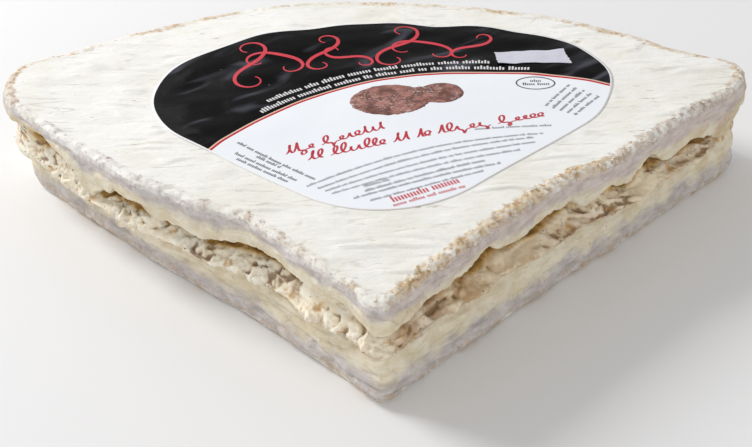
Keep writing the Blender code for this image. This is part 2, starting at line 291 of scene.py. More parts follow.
def grid_body(name, x, y, z):
    """Closed body from rows of points, top row first, each run counter-clockwise seen from above.

    Neighbouring rows are joined by four-sided faces; the first and last rows are closed by fans
    of triangles to the mean of their points.
    """
    rows, columns = x.shape
    points = np.stack([x, y, z], -1).reshape(-1, 3)
    poles = np.stack([points[:columns].mean(0), points[-columns:].mean(0)])
    here = np.arange(rows * columns).reshape(rows, columns)
    after = np.roll(here, -1, axis=1)
    quads = np.stack([here[:-1], here[1:], after[1:], after[:-1]], -1).reshape(-1, 4)
    top_pole = np.full(columns, rows * columns)
    top_fan = np.stack([top_pole, here[0], after[0]], -1)
    under_fan = np.stack([top_pole + 1, after[-1], here[-1]], -1)
    faces = quads.tolist() + top_fan.tolist() + under_fan.tolist()
    return mesh_object(name, np.concatenate([points, poles]), faces, smooth_faces=True)


def pushed(x, y, z, amount):
    """Points moved along the normal: the cross product of the steps down the rows and around them."""
    points = np.stack([x, y, z], -1)
    around = np.roll(points, -1, axis=1) - np.roll(points, 1, axis=1)
    down = np.gradient(points, axis=0)
    normal = np.cross(down, around)
    normal /= np.maximum(np.linalg.norm(normal, axis=-1, keepdims=True), 1e-9)
    moved = points + normal * np.asarray(amount)[..., None]
    return moved[..., 0], moved[..., 1], moved[..., 2]


def stacked(rows):
    """Rows of x, y, z and further values, some of them single numbers, as one full array each."""
    full = [np.stack(np.broadcast_arrays(*row)) for row in rows]
    return np.stack(full, axis=1)


def paint(body, shape, **layers):
    """Stores named numbers on a grid body's points, and each end row's mean on its pole."""
    for name, values in layers.items():
        full = np.broadcast_to(values, shape)
        flat = np.concatenate([full.ravel(), [full[0].mean(), full[-1].mean()]])
        layer = body.data.attributes.new(name, "FLOAT", "POINT")
        layer.data.foreach_set("value", flat.astype(np.float32))


# %% [markdown]
# Nothing is pressed into the crust under the label, so the wrinkles fade out there. The label is a
# rounded sector too, turned and moved on the crust, and a place's share of the way from the
# label's middle to its edge says if it is under the label. Its far edge ripples a little.

# %% Where the label lies
LABEL_RADIUS, LABEL_HALF_ANGLE = 132.5, math.radians(47.5)
LABEL_TIP_FILLET, LABEL_END_FILLET = 37.0, 38.5
LABEL_APEX, LABEL_TURN = (5.5, -63.5), math.radians(2.6)
LABEL_MIDDLE_Y = 0.6 * LABEL_RADIUS
LABEL_GROWTH = 1.012


label_x, label_y = rounded_sector(LABEL_RADIUS, LABEL_HALF_ANGLE, LABEL_TIP_FILLET,
                                  LABEL_END_FILLET, (20, 60, 60, 140))[:2]
label_rim_angle = np.unwrap(np.arctan2(label_y - LABEL_MIDDLE_Y, label_x))
label_ripple = 0.9 * np.sin(9.0 * label_rim_angle) + 0.6 * np.sin(14.0 * label_rim_angle + 1.0)
label_ripple *= smooth(label_y, 60.0, 100.0)
label_reach = LABEL_GROWTH * np.hypot(label_x, label_y - LABEL_MIDDLE_Y) + label_ripple
label_x = label_reach * np.cos(label_rim_angle)
label_y = LABEL_MIDDLE_Y + label_reach * np.sin(label_rim_angle)


def label_share(x, y):
    """How far a place on the cheese is from the label's middle, where 1 is the label's edge."""
    own_x, own_y = carried(x - LABEL_APEX[0], y - LABEL_APEX[1], -LABEL_TURN, (0.0, -LABEL_MIDDLE_Y))
    start = label_rim_angle[0]
    wrapped = start + np.mod(np.arctan2(own_y, own_x) - start, 2.0 * math.pi)
    return np.hypot(own_x, own_y) / np.interp(wrapped, label_rim_angle, label_reach)


print("label reach in mm:", label_reach.min().round(1), "to", label_reach.max().round(1))


# %% [markdown]
# Crust: the white mould skin has dried into pleats that overlap like brush strokes. They run across
# the quarter, bend down a little at its sides, and break off and start again. A sawtooth gives
# such a pleat, a slow rise and a short steep fall on the near side, and noise in its phase bends
# and breaks it. Two sizes of stretched noise between the pleats keep it from looking combed.

# %% Pleats of the crust
PLEAT_WIDTH = 5.0


def pleats(x, y):
    """Sawtooth of the place across the pleats, bent by noise: rises over 68% of one, then falls."""
    phase = -(y - 0.0012 * x * x + 0.06 * x) / PLEAT_WIDTH
    phase = phase + 0.95 * noise(x / 28.0, y / 12.0, seed=3) + 0.30 * noise(x / 11.0, y / 6.0, seed=4)
    part = phase % 1.0
    return part - smooth(part, 0.68, 1.0)


def crust_relief(x, y):
    """Pleats in patches of 0.06 to 1 of their height, plus rolls and puffs of noise."""
    strength = 0.06 + 0.94 * smooth(noise(x / 19.0, y / 9.0, seed=5), -0.02, 0.50)
    rolls = 0.30 * noise(x / 17.0, y / 6.0, seed=6) + 0.09 * noise(x / 7.0, y / 2.6, seed=7)
    puff = 0.20 * noise(x / 11.0, y / 9.0, seed=8)
    return pleats(x, y) * strength + rolls + puff - 0.15


print("relief at four places 5 mm apart:", crust_relief(0.0, np.arange(0.0, 20.0, 5.0)).round(2))


# %% [markdown]
# Upper slice: the crust turns over a low rim into a cut face that sags, and the paste at the
# face's foot hangs as a ragged lip over the filling. One grid covers all of it: each row is the
# quarter's outline moved out or drawn in, at its own height.

# %% Rows of the upper slice
CRUST_SHARES = np.concatenate([[0.08, 0.16, 0.24, 0.32, 0.40, 0.47], np.linspace(0.53, 1.0, 61)])
QUARTER_TURN = np.radians([18, 36, 54, 72, 90])


def upper_rows(q, lip):
    """Rows of x, y, z, the zone, and the share of the way down the face.

    The crust, zone 0, is the outline drawn in by shares. The rim, up to 1, is a quarter turn of
    radius q.rim. The face, 1, goes straight down to the lip with a slight bulge, and the
    underside, 2, slopes from the lip to its level part.
    """
    rows = []
    rim_x, rim_y = q.moved_out(q.sag - q.rim)
    for share in CRUST_SHARES:
        x, y = shrunk(rim_x, rim_y, share)
        rows.append((x, y, crust_height(x, y), 0.0, 0.0))
    rim_height = crust_height(rim_x, rim_y)
    for turn in QUARTER_TURN:
        x, y = q.moved_out(q.sag - q.rim * (1.0 - math.sin(turn)))
        rows.append((x, y, rim_height - q.rim * (1.0 - math.cos(turn)), math.sin(turn) ** 3, 0.0))
    face_top = rim_height - q.rim
    for share in np.linspace(0.05, 1.0, 20):
        bulge = 0.6 * math.sin(math.pi * min(share * 1.1, 1.0))
        x, y = q.moved_out(q.sag + bulge + share * (q.wobble + 0.3))
        rows.append((x, y, face_top + share * (lip + 0.5 - face_top), 1.0, share))
    for out, up in ((0.1, 0.15), (-0.5, -0.1), (-LIP_THICKNESS, 0.0)):
        rows.append((*q.moved_out(q.sag + q.wobble + out), lip + up, 1.0, 1.0))
    lip_x, lip_y = q.moved_out(q.sag + q.wobble - LIP_THICKNESS)
    for share in (0.985, 0.96, 0.92, LEVEL_SHARE, 0.45, 0.12):
        x, y = shrunk(lip_x, lip_y, share)
        slope = max(0.0, (share - LEVEL_SHARE) / (1.0 - LEVEL_SHARE))
        rows.append((x, y, FILLING_TOP + slope * (lip - FILLING_TOP), 2.0, 1.0))
    return rows


# %% [markdown]
# Along the rim the dried mould stands up in tufts and curls, strongest on the right cut, and a
# frayed strip of the crust beside it belongs to the rim too. The cut face is smeared by the knife.
# The lip is ragged, most at three places where the paste tore.

# %% Upper slice
def rim_reach(q, x, y, zone, share_down):
    """How much a place belongs to the rim, 0 to 1, the largest of three parts.

    A bell over the rim's own turn, a strip of the crust whose width is frayed by noise, and the
    brow, which fades over the first quarter of the cut face.
    """
    on_turn = bell(zone, 0.35, 0.4) * (zone < 1.01) * (zone > 0)
    frayed = 1.0 + 0.75 * noise(q.from_tip / 2.4, 3.0, seed=31)
    frayed = frayed + 0.45 * noise(q.from_tip / 7.0, 5.0, seed=32)
    width = (2.6 + 0.8 * q.right) * np.clip(frayed, 0.3, 1.8)
    rim_x, rim_y = q.moved_out(q.sag - q.rim)
    inside = np.hypot(rim_x, rim_y - MIDDLE_Y) - np.hypot(x, y - MIDDLE_Y)
    strip = (zone == 0) * smooth(1.0 - np.clip(inside / width, 0.0, 1.0), 0.0, 1.0)
    brow = (zone > 0.35) * (zone <= 1.0) * smooth(0.24 - share_down, 0.0, 0.24) * q.on_cut
    return np.maximum(np.maximum(on_turn, strip), (0.35 + 0.45 * q.right) * brow)


def upper_slice(q):
    """The rows with their ragged lip, pushed out by pleats, tufts and smears, and then painted."""
    torn = bell(q.from_tip, -122.0, 8.0) + 0.6 * bell(q.from_tip, -90.0, 7.0)
    torn += 0.5 * bell(q.from_tip, 112.0, 12.0)
    ragged = 0.55 * noise(q.from_tip / 2.7, 3.0, seed=11) + 0.3 * noise(q.from_tip / 1.1, 5.0, seed=12)
    lip = q.lip + ragged * q.on_cut * (1.0 + 2.4 * torn)
    x, y, z, zone, share_down = stacked(upper_rows(q, lip))
    place = (x, y, z)
    side = smooth(zone, 0.2, 0.9) * (zone < 1.5)
    near_rim = rim_reach(q, x, y, zone, share_down)

    bare_top = (1.0 - smooth(zone, 0.3, 1.0)) * smooth(label_share(x, y), 1.0, 1.05)
    amount = bare_top * crust_relief(x, y)

    far = smooth(q.from_tip, 80.0, 125.0)
    curls = np.abs(np.sin(math.pi * q.from_tip / 4.6 + 1.6 * noise(q.from_tip / 12.0, 7.0, seed=13)))
    uneven = 1.0 + 0.8 * noise(q.from_tip / 7.0, 2.0, seed=20)
    curls = (curls - 0.5) * (0.10 + 0.35 * q.right * (1.0 - 0.7 * far)) * q.on_cut * uneven
    tufts = grain(place, 1.5, 1.5, 13) + 0.7 * grain(place, 3.4, 3.4, 14)
    tuft_height = 0.18 - 0.07 * q.on_cut + 0.66 * q.right * (1.0 - 0.4 * far)
    amount += near_rim * (tuft_height * tufts + curls)

    smear = 0.40 * grain(place, 9.0, 2.8, 15) + 0.24 * grain(place, 3.0, 1.6, 16)
    smear += 0.12 * grain(place, 1.2, 1.1, 17) + 0.10 * grain(place, 0.9, 5.0, 10)
    groove = bell(share_down, 0.38, 0.09) * smooth(noise(x / 12.0, y / 12.0, seed=30), -0.1, 0.3)
    amount += side * q.on_cut * (smear - 0.55 * groove)
    rind = 0.5 * grain(place, 6.0, 4.0, 18) + 0.2 * grain(place, 2.0, 2.0, 19)
    amount += side * (1.0 - q.on_cut) * rind
    body = grid_body("upper_slice", *pushed(x, y, z, amount))

    tan_zone = q.right * (0.9 - 0.65 * far) + 0.6 * bell(q.from_tip, 0.0, 70.0)
    tan_zone += 0.75 * smooth(np.abs(q.from_tip), 150.0, 185.0)
    golden = smooth(np.abs(q.from_tip), 128.0, 156.0) * q.on_cut + 0.7 * bell(q.from_tip, 9.0, 9.0)
    # Pit: where the rim dips between tufts and curls, which the material darkens as painted shade.
    pit = near_rim * smooth(-tufts - curls, 0.0, 0.8) * (0.4 + 0.6 * q.right)
    paint(body, x.shape, on_face=np.where(zone > 1.5, 1.0, side * q.on_cut), down=share_down,
          near_rim=near_rim, right=q.right, pit=pit, golden=golden,
          tan_zone=np.clip(tan_zone, 0.0, 1.0))
    return body


upper = upper_slice(quarter)
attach(upper, "root")
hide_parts("top_brie")

# %% [markdown]
# Filling: truffle cream that tore when the quarter was cut. It stands back in dark hollows under
# the lip and swells out below. At the two ends of the cuts it draws back again, so that it meets
# the old rind.

# %% Rows of the filling
FULLNESS = ((0.0, 0.0), (0.25, 0.1), (0.5, 0.6), (0.75, 1.0), (0.93, 0.8), (1.0, 0.55))
FILLING_LEVEL, FILLING_FLOOR = FILLING_TOP - 0.9, LOWER_SLICE_TOP + 0.3


def filling_rows(q):
    """Rows of x, y, z, how much of the side's relief they get, and how deep they stand back.

    A level top, a shoulder back under the lip, the torn side that follows the table of fullness
    by its share of the way down, and a level floor.
    """
    edge_x, edge_y = q.moved_out(q.sag + q.wobble - LIP_THICKNESS)
    distance = np.hypot(edge_x, edge_y - MIDDLE_Y)
    recess = (0.85 + 0.85 * q.right) * q.recess + CLEARANCE
    shoulder = 1.0 - recess / distance
    slope = (shoulder - LEVEL_SHARE) / (1.0 - LEVEL_SHARE)
    shoulder_height = FILLING_TOP + slope * (q.lip - FILLING_TOP) - 0.3 - CRACK * slope
    rows = []
    for share in (0.12, 0.45, LEVEL_SHARE):
        rows.append((*shrunk(edge_x, edge_y, share), FILLING_LEVEL, 0.0, recess))
    for part in (0.35, 0.7, 0.9):
        x, y = shrunk(edge_x, edge_y, LEVEL_SHARE + part * (shoulder - LEVEL_SHARE))
        height = FILLING_LEVEL + part * (shoulder_height - FILLING_LEVEL)
        rows.append((x, y, height, 0.3 * part, recess))
    ends = smooth(np.abs(q.from_tip), 146.0, 172.0)
    swell = q.swell + LIP_THICKNESS + 0.2 * q.wobble - ends * (2.6 + 0.9 * (q.from_tip > 0))
    late = 0.16 * smooth(q.recess, 3.0, 6.0) * q.right
    for share in np.linspace(0.0, 1.0, 38):
        height = shoulder_height + share * (FILLING_FLOOR - shoulder_height)
        below_lip = np.clip((q.lip - 0.9 - height) / 2.6, 0.0, 1.0)
        fullness = eased(np.clip(share - late, 0.0, 1.0), FULLNESS) * below_lip
        inward = recess - fullness * (recess + swell)
        rows.append((*shrunk(edge_x, edge_y, 1.0 - inward / distance), height, 1.0, inward))
    for share in (0.96, 0.6, 0.15):
        rows.append((*shrunk(edge_x, edge_y, share), FILLING_FLOOR, 0.0, recess))
    return rows


# %% [markdown]
# Torn cream is a crowd of soft lumps with sharp creases between them. The absolute value of a
# noise gives that: rounded hills, and creases where it crosses zero. Ledges and flakes lie between
# the lumps, because cream tears in layers. They are sawtooths of the height, bent by noise.

# %% Truffle filling
def ledges(level):
    """Sawtooth of the level: rises over 80% of a step and falls over the rest, mean near zero."""
    part = level % 1.0
    return part - smooth(part, 0.8, 1.0) - 0.35


def filling(q):
    """The rows pushed in and out by lumps of four sizes, ledges, flakes and fibres, then painted."""
    x, y, z, side, deep = stacked(filling_rows(q))
    place = (x, y, z)
    torn = smooth(grain(place, 17.0, 11.0, 25), -0.55, 0.25)
    torn *= 1.0 - 0.75 * q.right * smooth(q.recess, 3.0, 6.0) * smooth(z, 17.5, 20.5)
    lumps = 0.8 * grain(place, 15.0, 8.0, 26)
    lumps += torn * (3.0 * np.abs(grain(place, 7.6, 4.8, 21)) - 0.9)
    lumps += (0.2 + 0.8 * torn) * (1.25 * np.abs(grain(place, 3.4, 2.6, 22)) - 0.35)
    lumps += (0.25 + 0.75 * torn) * 1.3 * ledges(z / 4.2 + 1.5 * grain(place, 11.0, 7.0, 27))
    lumps += (0.2 + 0.8 * torn) * 0.45 * ledges(z / 1.9 + 1.3 * grain(place, 4.5, 3.0, 29))
    lumps += 0.20 * grain(place, 1.1, 6.0, 28)
    lumps += (0.35 + 0.65 * torn) * 0.26 * grain(place, 1.4, 1.0, 23)
    lumps += (0.25 + 0.75 * torn) * 0.13 * grain(place, 0.75, 0.7, 24)
    free = smooth(q.lip - 0.5 - z, 0.0, 2.0)
    amount = side * np.where(lumps > 0.0, lumps * (0.25 + 0.75 * free), lumps)
    settle = 1.0 - 0.45 * smooth(FILLING_FLOOR + 0.8 - z, 0.0, 0.8)
    settle = settle * (1.0 - 0.8 * smooth(np.abs(x), 108.0, 124.0))
    on_cut = 0.35 + 0.65 * q.on_cut
    body = grid_body("truffle_cream", *pushed(x, y, z, amount * settle * on_cut))
    # The first two numbers tell the material where to paint shade: deep under the lip and in creases.
    paint(body, x.shape, hollow=smooth(deep, 0.4, 3.8 + 1.7 * q.right) * side,
          crease=smooth(-lumps, 0.0, 1.1) * side * on_cut,
          low=smooth(FILLING_FLOOR + 3.5 - z, 0.0, 3.5) * side,
          right=q.right, on_cut=q.on_cut, from_tip=q.from_tip)
    return body


fine_quarter = Quarter(cut_steps=560, rind_steps=300, end_steps=60, tip_steps=14)
cream = filling(fine_quarter)
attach(cream, "root")
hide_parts("truffle_filling")

# %% [markdown]
# Lower slice: soft paste on its own crust. Its cut face is smeared like the upper one, it stands
# back a little under the filling, and its foot is rounded where the crust turns under.

# %% Lower slice
FACE_EDGE = ((0.0, -2.5), (0.08, -1.9), (0.3, -1.3), (0.6, -0.8), (1.0, 0.0))


def lower_slice(q):
    """Lower slice: level top, cut face, a quarter-turn foot of radius FOOT_RIM, flat underside.

    `drop` counts down the rows: 0 on the level top, 1 at the end of the face, 2 at the end of the
    foot and 3 underneath.
    """
    rows = []
    for share in (0.15, 0.6, 0.92):
        rows.append((*shrunk(q.x, q.y, share), LOWER_SLICE_TOP, 0.0))
    for share in np.linspace(0.0, 1.0, 26):
        out = eased(np.array([share]), FACE_EDGE)[0]
        x, y = q.moved_out((0.5 - 0.2 * share) * q.sag + out + 0.6 * (1.0 - share) * q.wobble)
        rows.append((x, y, LOWER_SLICE_TOP + share * (FOOT_RIM - LOWER_SLICE_TOP), share))
    for turn in QUARTER_TURN:
        x, y = q.moved_out(0.3 * q.sag - FOOT_RIM * (1.0 - math.cos(turn)))
        rows.append((x, y, FOOT_RIM * (1.0 - math.sin(turn)), 1.0 + math.sin(turn)))
    for share in (0.6, 0.15):
        rows.append((*shrunk(q.x, q.y, share), 0.0, 3.0))

    x, y, z, drop = stacked(rows)
    place = (x, y, z)
    face = smooth(drop, 0.0, 0.08) * (1.0 - smooth(drop, 1.4, 1.9))
    lumps = 0.7 * grain(place, 10.0, 4.0, 31) + 0.35 * grain(place, 3.4, 2.0, 32)
    lumps += 0.15 * grain(place, 1.3, 1.0, 33)
    creases = -0.8 * np.exp(-(grain(place, 16.0, 3.2, 34) * 8.0) ** 2)
    amount = np.minimum(face * (lumps + creases * q.on_cut), 0.9)
    body = grid_body("lower_slice", *pushed(x, y, z, amount))
    paint(body, x.shape, on_face=np.where(drop < 0.02, 1.0, face * q.on_cut),
          down=1.1 - np.clip(drop, 0.0, 1.0), tan_zone=1.0,
          near_rim=smooth(drop, 0.8, 1.1) * (1.0 - smooth(drop, 1.9, 2.6)))
    return body


lower = lower_slice(quarter)
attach(lower, "root")
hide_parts("bottom_brie")

# %% [markdown]
# Label: a thin printed film. It lies on the crust and has a few soft wrinkles of its own, most in
# the dark half, where they catch the light. It is a thin closed shell made of rings about its
# middle, so its edge is a ring too and can be printed to exactly.

# %% Label film
LABEL_LIFT, FILM = 0.11, 0.08
BAND_CENTRE, BAND_RADIUS = (33.0, -70.5), 101.6
MARGIN_START = 0.989


def film_height(x, y):
    """Top of the film: the crust, the film's lift, and wrinkles that are deeper in the dark half."""
    from_centre = np.hypot(x - BAND_CENTRE[0], y - BAND_CENTRE[1])
    dark = smooth(from_centre, BAND_RADIUS - 25.0, BAND_RADIUS + 12.0)
    folds = noise((x + 0.5 * y) / 26.0, (y - 0.4 * x) / 11.0, seed=41)
    folds += 0.6 * noise((x - 0.3 * y) / 12.0, (y + 0.2 * x) / 16.0, seed=42)
    ripple = noise(x / 7.0, y / 7.0, seed=43)
    wrinkle = (0.10 + 0.62 * dark) * np.maximum(0.5 + 0.5 * folds, 0.0) + 0.06 * dark * (1.0 + ripple)
    wrinkle *= 1.0 - 0.75 * smooth(label_share(x, y), 0.88, 1.0)
    return crust_height(x, y) + LABEL_LIFT + FILM + wrinkle


def label_film():
    """Film: rings from the middle out to the edge for the top, and back in again for the underside."""
    edge = [MARGIN_START - 0.0005, MARGIN_START + 0.0005, 1.0]
    shares = np.concatenate([np.linspace(0.03, 0.98, 56), edge])
    rows = []
    for ring_shares, under in ((shares, 0.0), (shares[::-4], FILM)):
        for share in ring_shares:
            own_y = LABEL_MIDDLE_Y + (label_y - LABEL_MIDDLE_Y) * share
            x, y = carried(label_x * share, own_y, LABEL_TURN, LABEL_APEX)
            rows.append((x, y, film_height(x, y) - under, 1.0 if under else share))
    x, y, z, from_middle = stacked(rows)
    body = grid_body("label_film", x, y, z)
    paint(body, x.shape, margin=from_middle)
    return body


film = label_film()
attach(film, "root")
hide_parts("label")

# %% [markdown]
# Print: a real label carries lettering and pictures. Here each block of print is only its colour
# and weight: rows of dashes for small type, running loops for the two red lines, an ornament of
# scrolls on the dark band. Each stroke is a thin flat strip laid on the film. Strips keep a crisp
# edge at any distance, which a painted texture wouldn't.

# %% Strips of ink
INK = 0.05


def strips(name, x, y, half_width):
    """One mesh of many thin strips. Row i of x, y and half_width is the middle line of strip i.

    Left and right edges are the middle line moved along its normal by the half width. The top
    lies just above the film and the bottom just inside it, so that every strip is closed.
    """
    x, y, half_width = np.broadcast_arrays(x, y, half_width)
    along_x, along_y = np.gradient(x, axis=1), np.gradient(y, axis=1)
    size = np.maximum(np.hypot(along_x, along_y), 1e-9)
    side_x, side_y = -along_y / size * half_width, along_x / size * half_width
    corners = []
    for sign, lift in ((1, INK), (-1, INK), (-1, -INK), (1, -INK)):
        edge_x, edge_y = x + sign * side_x, y + sign * side_y
        corners.append(np.stack([edge_x, edge_y, film_height(edge_x, edge_y) + lift], -1))
    points = np.stack(corners, axis=2).reshape(-1, 3)
    index = np.arange(len(points)).reshape(*x.shape, 4)
    turned = np.roll(index, -1, axis=2)
    sides = np.stack([index[:, :-1], turned[:, :-1], turned[:, 1:], index[:, 1:]], -1).reshape(-1, 4)
    ends = np.concatenate([index[:, 0, ::-1], index[:, -1]])
    body = mesh_object(name, points, sides.tolist() + ends.tolist())
    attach(body, "root")
    return body


def joined(rows):
    """Several sets of strips with the same number of steps as one set."""
    return [np.concatenate(part) for part in zip(*rows)]


# %% [markdown]
# A row of small type reads as a row of short upright marks in groups, like words. Nobody could
# read it at this size, so the marks are drawn at random with a fixed seed, one in five taller.

# %% Rows of small type
def word_marks(length, pitch, seed, word):
    """Where the marks of a row stand: words of a few marks, `pitch` apart, with a gap after each."""
    counts = np.random.default_rng(seed).integers(*word, int(length / pitch) + 2)
    slots = np.concatenate([np.append(np.ones(count), 0.0) for count in counts])
    places = (np.arange(len(slots)) + 0.5) * pitch
    return places[(slots > 0) & (places < length - 0.5 * pitch)]


def mark_row(start, end, rise, height, seed, word=(3, 11), spacing=0.66):
    """Upright marks along a shallow arc from start to end; one in five is half as tall again."""
    length = math.hypot(end[0] - start[0], end[1] - start[1])
    pitch = spacing * height
    place = word_marks(length, pitch, seed, word)
    share = place / length
    turn = math.atan2(end[1] - start[1], end[0] - start[0])
    base = rise * 4.0 * share * (1.0 - share)
    tall = height * np.where(np.random.default_rng(seed + 500).random(len(place)) < 0.2, 1.5, 1.0)
    high = base[:, None] + tall[:, None] * np.linspace(0.0, 1.0, 3)
    x, y = carried(place[:, None], high, turn, start)
    return x, y, np.full_like(x, 0.5 * 0.55 * pitch)


def mark_rows(first_seed, *rows):
    """Rows of marks, given as start, end, rise and height, each with the next seed."""
    return [mark_row(*row, seed=first_seed + number) for number, row in enumerate(rows)]


small_type = strips("small_type", *joined(mark_rows(
    51,
    ((-20.5, -37.3), (53.3, -9.1), 4.8, 0.85),
    ((-17.0, -38.8), (50.4, -11.6), 3.4, 0.85),
    ((-14.8, -40.3), (50.4, -14.6), 2.2, 0.85),
    ((-12.7, -41.9), (45.6, -19.4), 1.4, 0.85),
    ((-3.3, -38.7), (4.5, -35.5), 0.0, 0.85),
    ((-2.9, -41.4), (33.6, -26.2), 0.4, 0.95),
    ((-6.2, -45.0), (38.6, -27.7), 0.5, 0.95),
    ((-1.3, -46.6), (33.1, -32.2), 0.0, 0.80),
    ((31.3, -6.7), (56.1, -4.2), 0.4, 0.85),
)))
left_block = mark_rows(
    61,
    ((-44.0, -11.9), (-18.4, -33.5), 0.0, 0.9),
    ((-37.4, -19.8), (-29.3, -26.4), 0.0, 0.9),
    ((-44.2, -17.9), (-23.7, -34.0), 0.0, 0.9),
    ((-43.5, -20.9), (-26.0, -34.9), 0.0, 0.9),
)
right_block = mark_rows(65, *(
    ((55.4 + 2.2 * k, 8.2 - 1.5 * k), (64.6 + 2.2 * k, 21.2 - 1.9 * k), 0.2, 0.85) for k in range(5)
))
side_type = strips("side_type", *joined(left_block + right_block))


# %% [markdown]
# Two light rows follow the dark band. They are the same marks on circles about the band's centre.

# %% Light rows on the dark band
def arc_marks(radius, start, end, height, seed):
    """Upright marks on a circle about the band's centre; start and end are angles in degrees."""
    length = radius * math.radians(start - end)
    place = word_marks(length, 0.62 * height, seed, (3, 14))
    angle = (math.radians(start) - place / radius)[:, None]
    tall = height * np.where(np.random.default_rng(seed).random(len(place)) < 0.25, 1.4, 1.0)
    high = radius + tall[:, None] * np.linspace(0.0, 1.0, 3)
    return (BAND_CENTRE[0] + high * np.cos(angle), BAND_CENTRE[1] + high * np.sin(angle),
            np.full_like(high, 0.19 * height))


slogan = strips("slogan_marks", *joined([
    arc_marks(108.0, 129.5, 86.5, 1.7, 71),
    arc_marks(103.9, 132.5, 79.5, 1.7, 72),
]))


# %% [markdown]
# The two red lines are a pen's scribble: a point goes round small circles of different height while
# they move on, some above the line and a few below it. A broad pen is thick on the way down and
# thin on the way up, so the width follows the direction of the stroke.

# %% Red running loops
def loops(start, turn, lengths, tall, pitch, seed, steps=110):
    """Running loops, one strip for each entry of `lengths`, leaning right.

    In cell k the point is at (t * pitch + back[k] * sin, size[k] * (1 - cos) / 2) of 2 pi t, which
    is at the line wherever t is a whole number, so that cells of any size join.
    """
    draw = np.random.default_rng(seed)
    begin = np.concatenate([[0.0], np.cumsum(np.array(lengths) + 2.4)[:-1]])
    rows = []
    for offset, length in zip(begin, lengths):
        cells = max(2, round(length / pitch))
        kind = draw.random(cells)
        size = np.where(kind < 0.30, 2.1, np.where(kind > 0.90, -1.1, 1.0))
        size *= draw.uniform(0.8, 1.1, cells)
        size[0] = 1.9
        back = draw.uniform(0.08, 0.55, cells)
        way = np.linspace(0.0, cells, steps)
        cell = np.minimum(way.astype(int), cells - 1)
        high = 0.5 * tall * size[cell] * 0.5 * (1.0 - np.cos(2.0 * math.pi * way))
        along = offset + way * length / cells + back[cell] * pitch * np.sin(2.0 * math.pi * way)
        rows.append((along + 0.36 * high, high))
    along = np.stack([row[0] for row in rows])
    high = np.stack([row[1] for row in rows])
    x, y = carried(along, high, turn, start)
    heading = np.arctan2(np.gradient(y, axis=1), np.gradient(x, axis=1))
    return x, y, 0.15 + 0.30 * np.abs(np.sin(heading - turn - 0.4))


red_loops = strips("red_loops", *joined([
    loops((-28.0, -18.4), math.radians(23.3), [9.6, 21.5], 4.6, 2.7, 81),
    loops((-21.0, -22.0), math.radians(18.0), [5.0, 18.0, 5.5, 4.5, 18.0, 16.0], 4.8, 2.7, 86),
]))
maker_marks = strips("maker_marks", *joined([
    mark_row((5.3, -47.6), (26.0, -38.0), 0.0, 2.2, 83, word=(7, 15), spacing=0.46),
    mark_row((5.5, -49.8), (27.2, -40.8), 0.0, 1.1, 84, word=(3, 9)),
]))


# %% [markdown]
# The ornament on the dark band is a row of pen scrolls, thick in the middle and thin at the ends.
# A scroll bends more and more toward its ends, so its heading is worked out first and summed up.

# %% Scroll ornament and oval ring
def scroll(centre, turn, size, curl, mirror=1.0, even=1.0, steps=90):
    """A pen scroll: its heading grows with the square of the way from the middle of the stroke.

    With even = 1 the two ends curl opposite ways, like an S, and with even = 0 the same way, like
    a C. The points are the running sum of the heading, moved so that their mean is at `centre`.
    """
    way = np.linspace(-1.0, 1.0, steps)
    bend = way * way if even else way * np.abs(way)
    heading = turn + mirror * curl * bend
    x = np.cumsum(np.cos(heading)) * 2.0 * size / steps
    y = np.cumsum(np.sin(heading)) * 2.0 * size / steps
    width = 0.24 + 0.56 * (1.0 - way * way) ** 2
    return (centre[0] + x - x.mean())[None], (centre[1] + y - y.mean())[None], width[None]


def ring(centre, radii, turn, half_width, steps=49):
    """Closed oval stroke: its two radii times the cosine and sine of an angle, turned and moved."""
    angle = np.linspace(0.0, 2.0 * math.pi, steps)
    x, y = carried(radii[0] * np.cos(angle), radii[1] * np.sin(angle), turn, centre)
    return x[None], y[None], np.full((1, steps), half_width)


ornament = strips("scroll_ornament", *joined([
    scroll((-44.0, 40.0), 0.9, 30.0, 5.2),
    scroll((-35.0, 42.0), -0.4, 23.0, 4.6, mirror=-1.0, even=0.0),
    scroll((-19.0, 47.0), 0.7, 24.0, 5.4),
    scroll((-10.0, 43.5), 0.1, 18.0, 4.8, mirror=-1.0),
    scroll((7.0, 52.0), 0.6, 29.0, 5.2),
    scroll((16.0, 50.0), -0.3, 23.0, 4.4, mirror=-1.0, even=0.0),
    scroll((33.0, 51.0), 0.2, 18.0, 4.6),
]))
oval = strips("oval_ring", *ring((53.0, 23.0), (6.4, 3.9), -0.05, 0.22))
oval_marks = strips("oval_marks", *joined(mark_rows(
    91,
    ((51.2, 24.0), (55.4, 23.9), 0.0, 0.95),
    ((48.6, 21.9), (57.8, 21.7), 0.0, 1.05),
)))

# %% [markdown]
# The picture on the pale field is reduced to a mottled brown shape with two lobes. Its outline is
# the farther of two ovals in every direction, roughened a little.

# %% Brown two-lobed shape
LOBES_CENTRE = (9.0, 14.0)
LOBES = ((-4.6, -1.6, 13.2, 9.6, 0.12), (12.2, 3.0, 7.6, 6.6, 0.2))


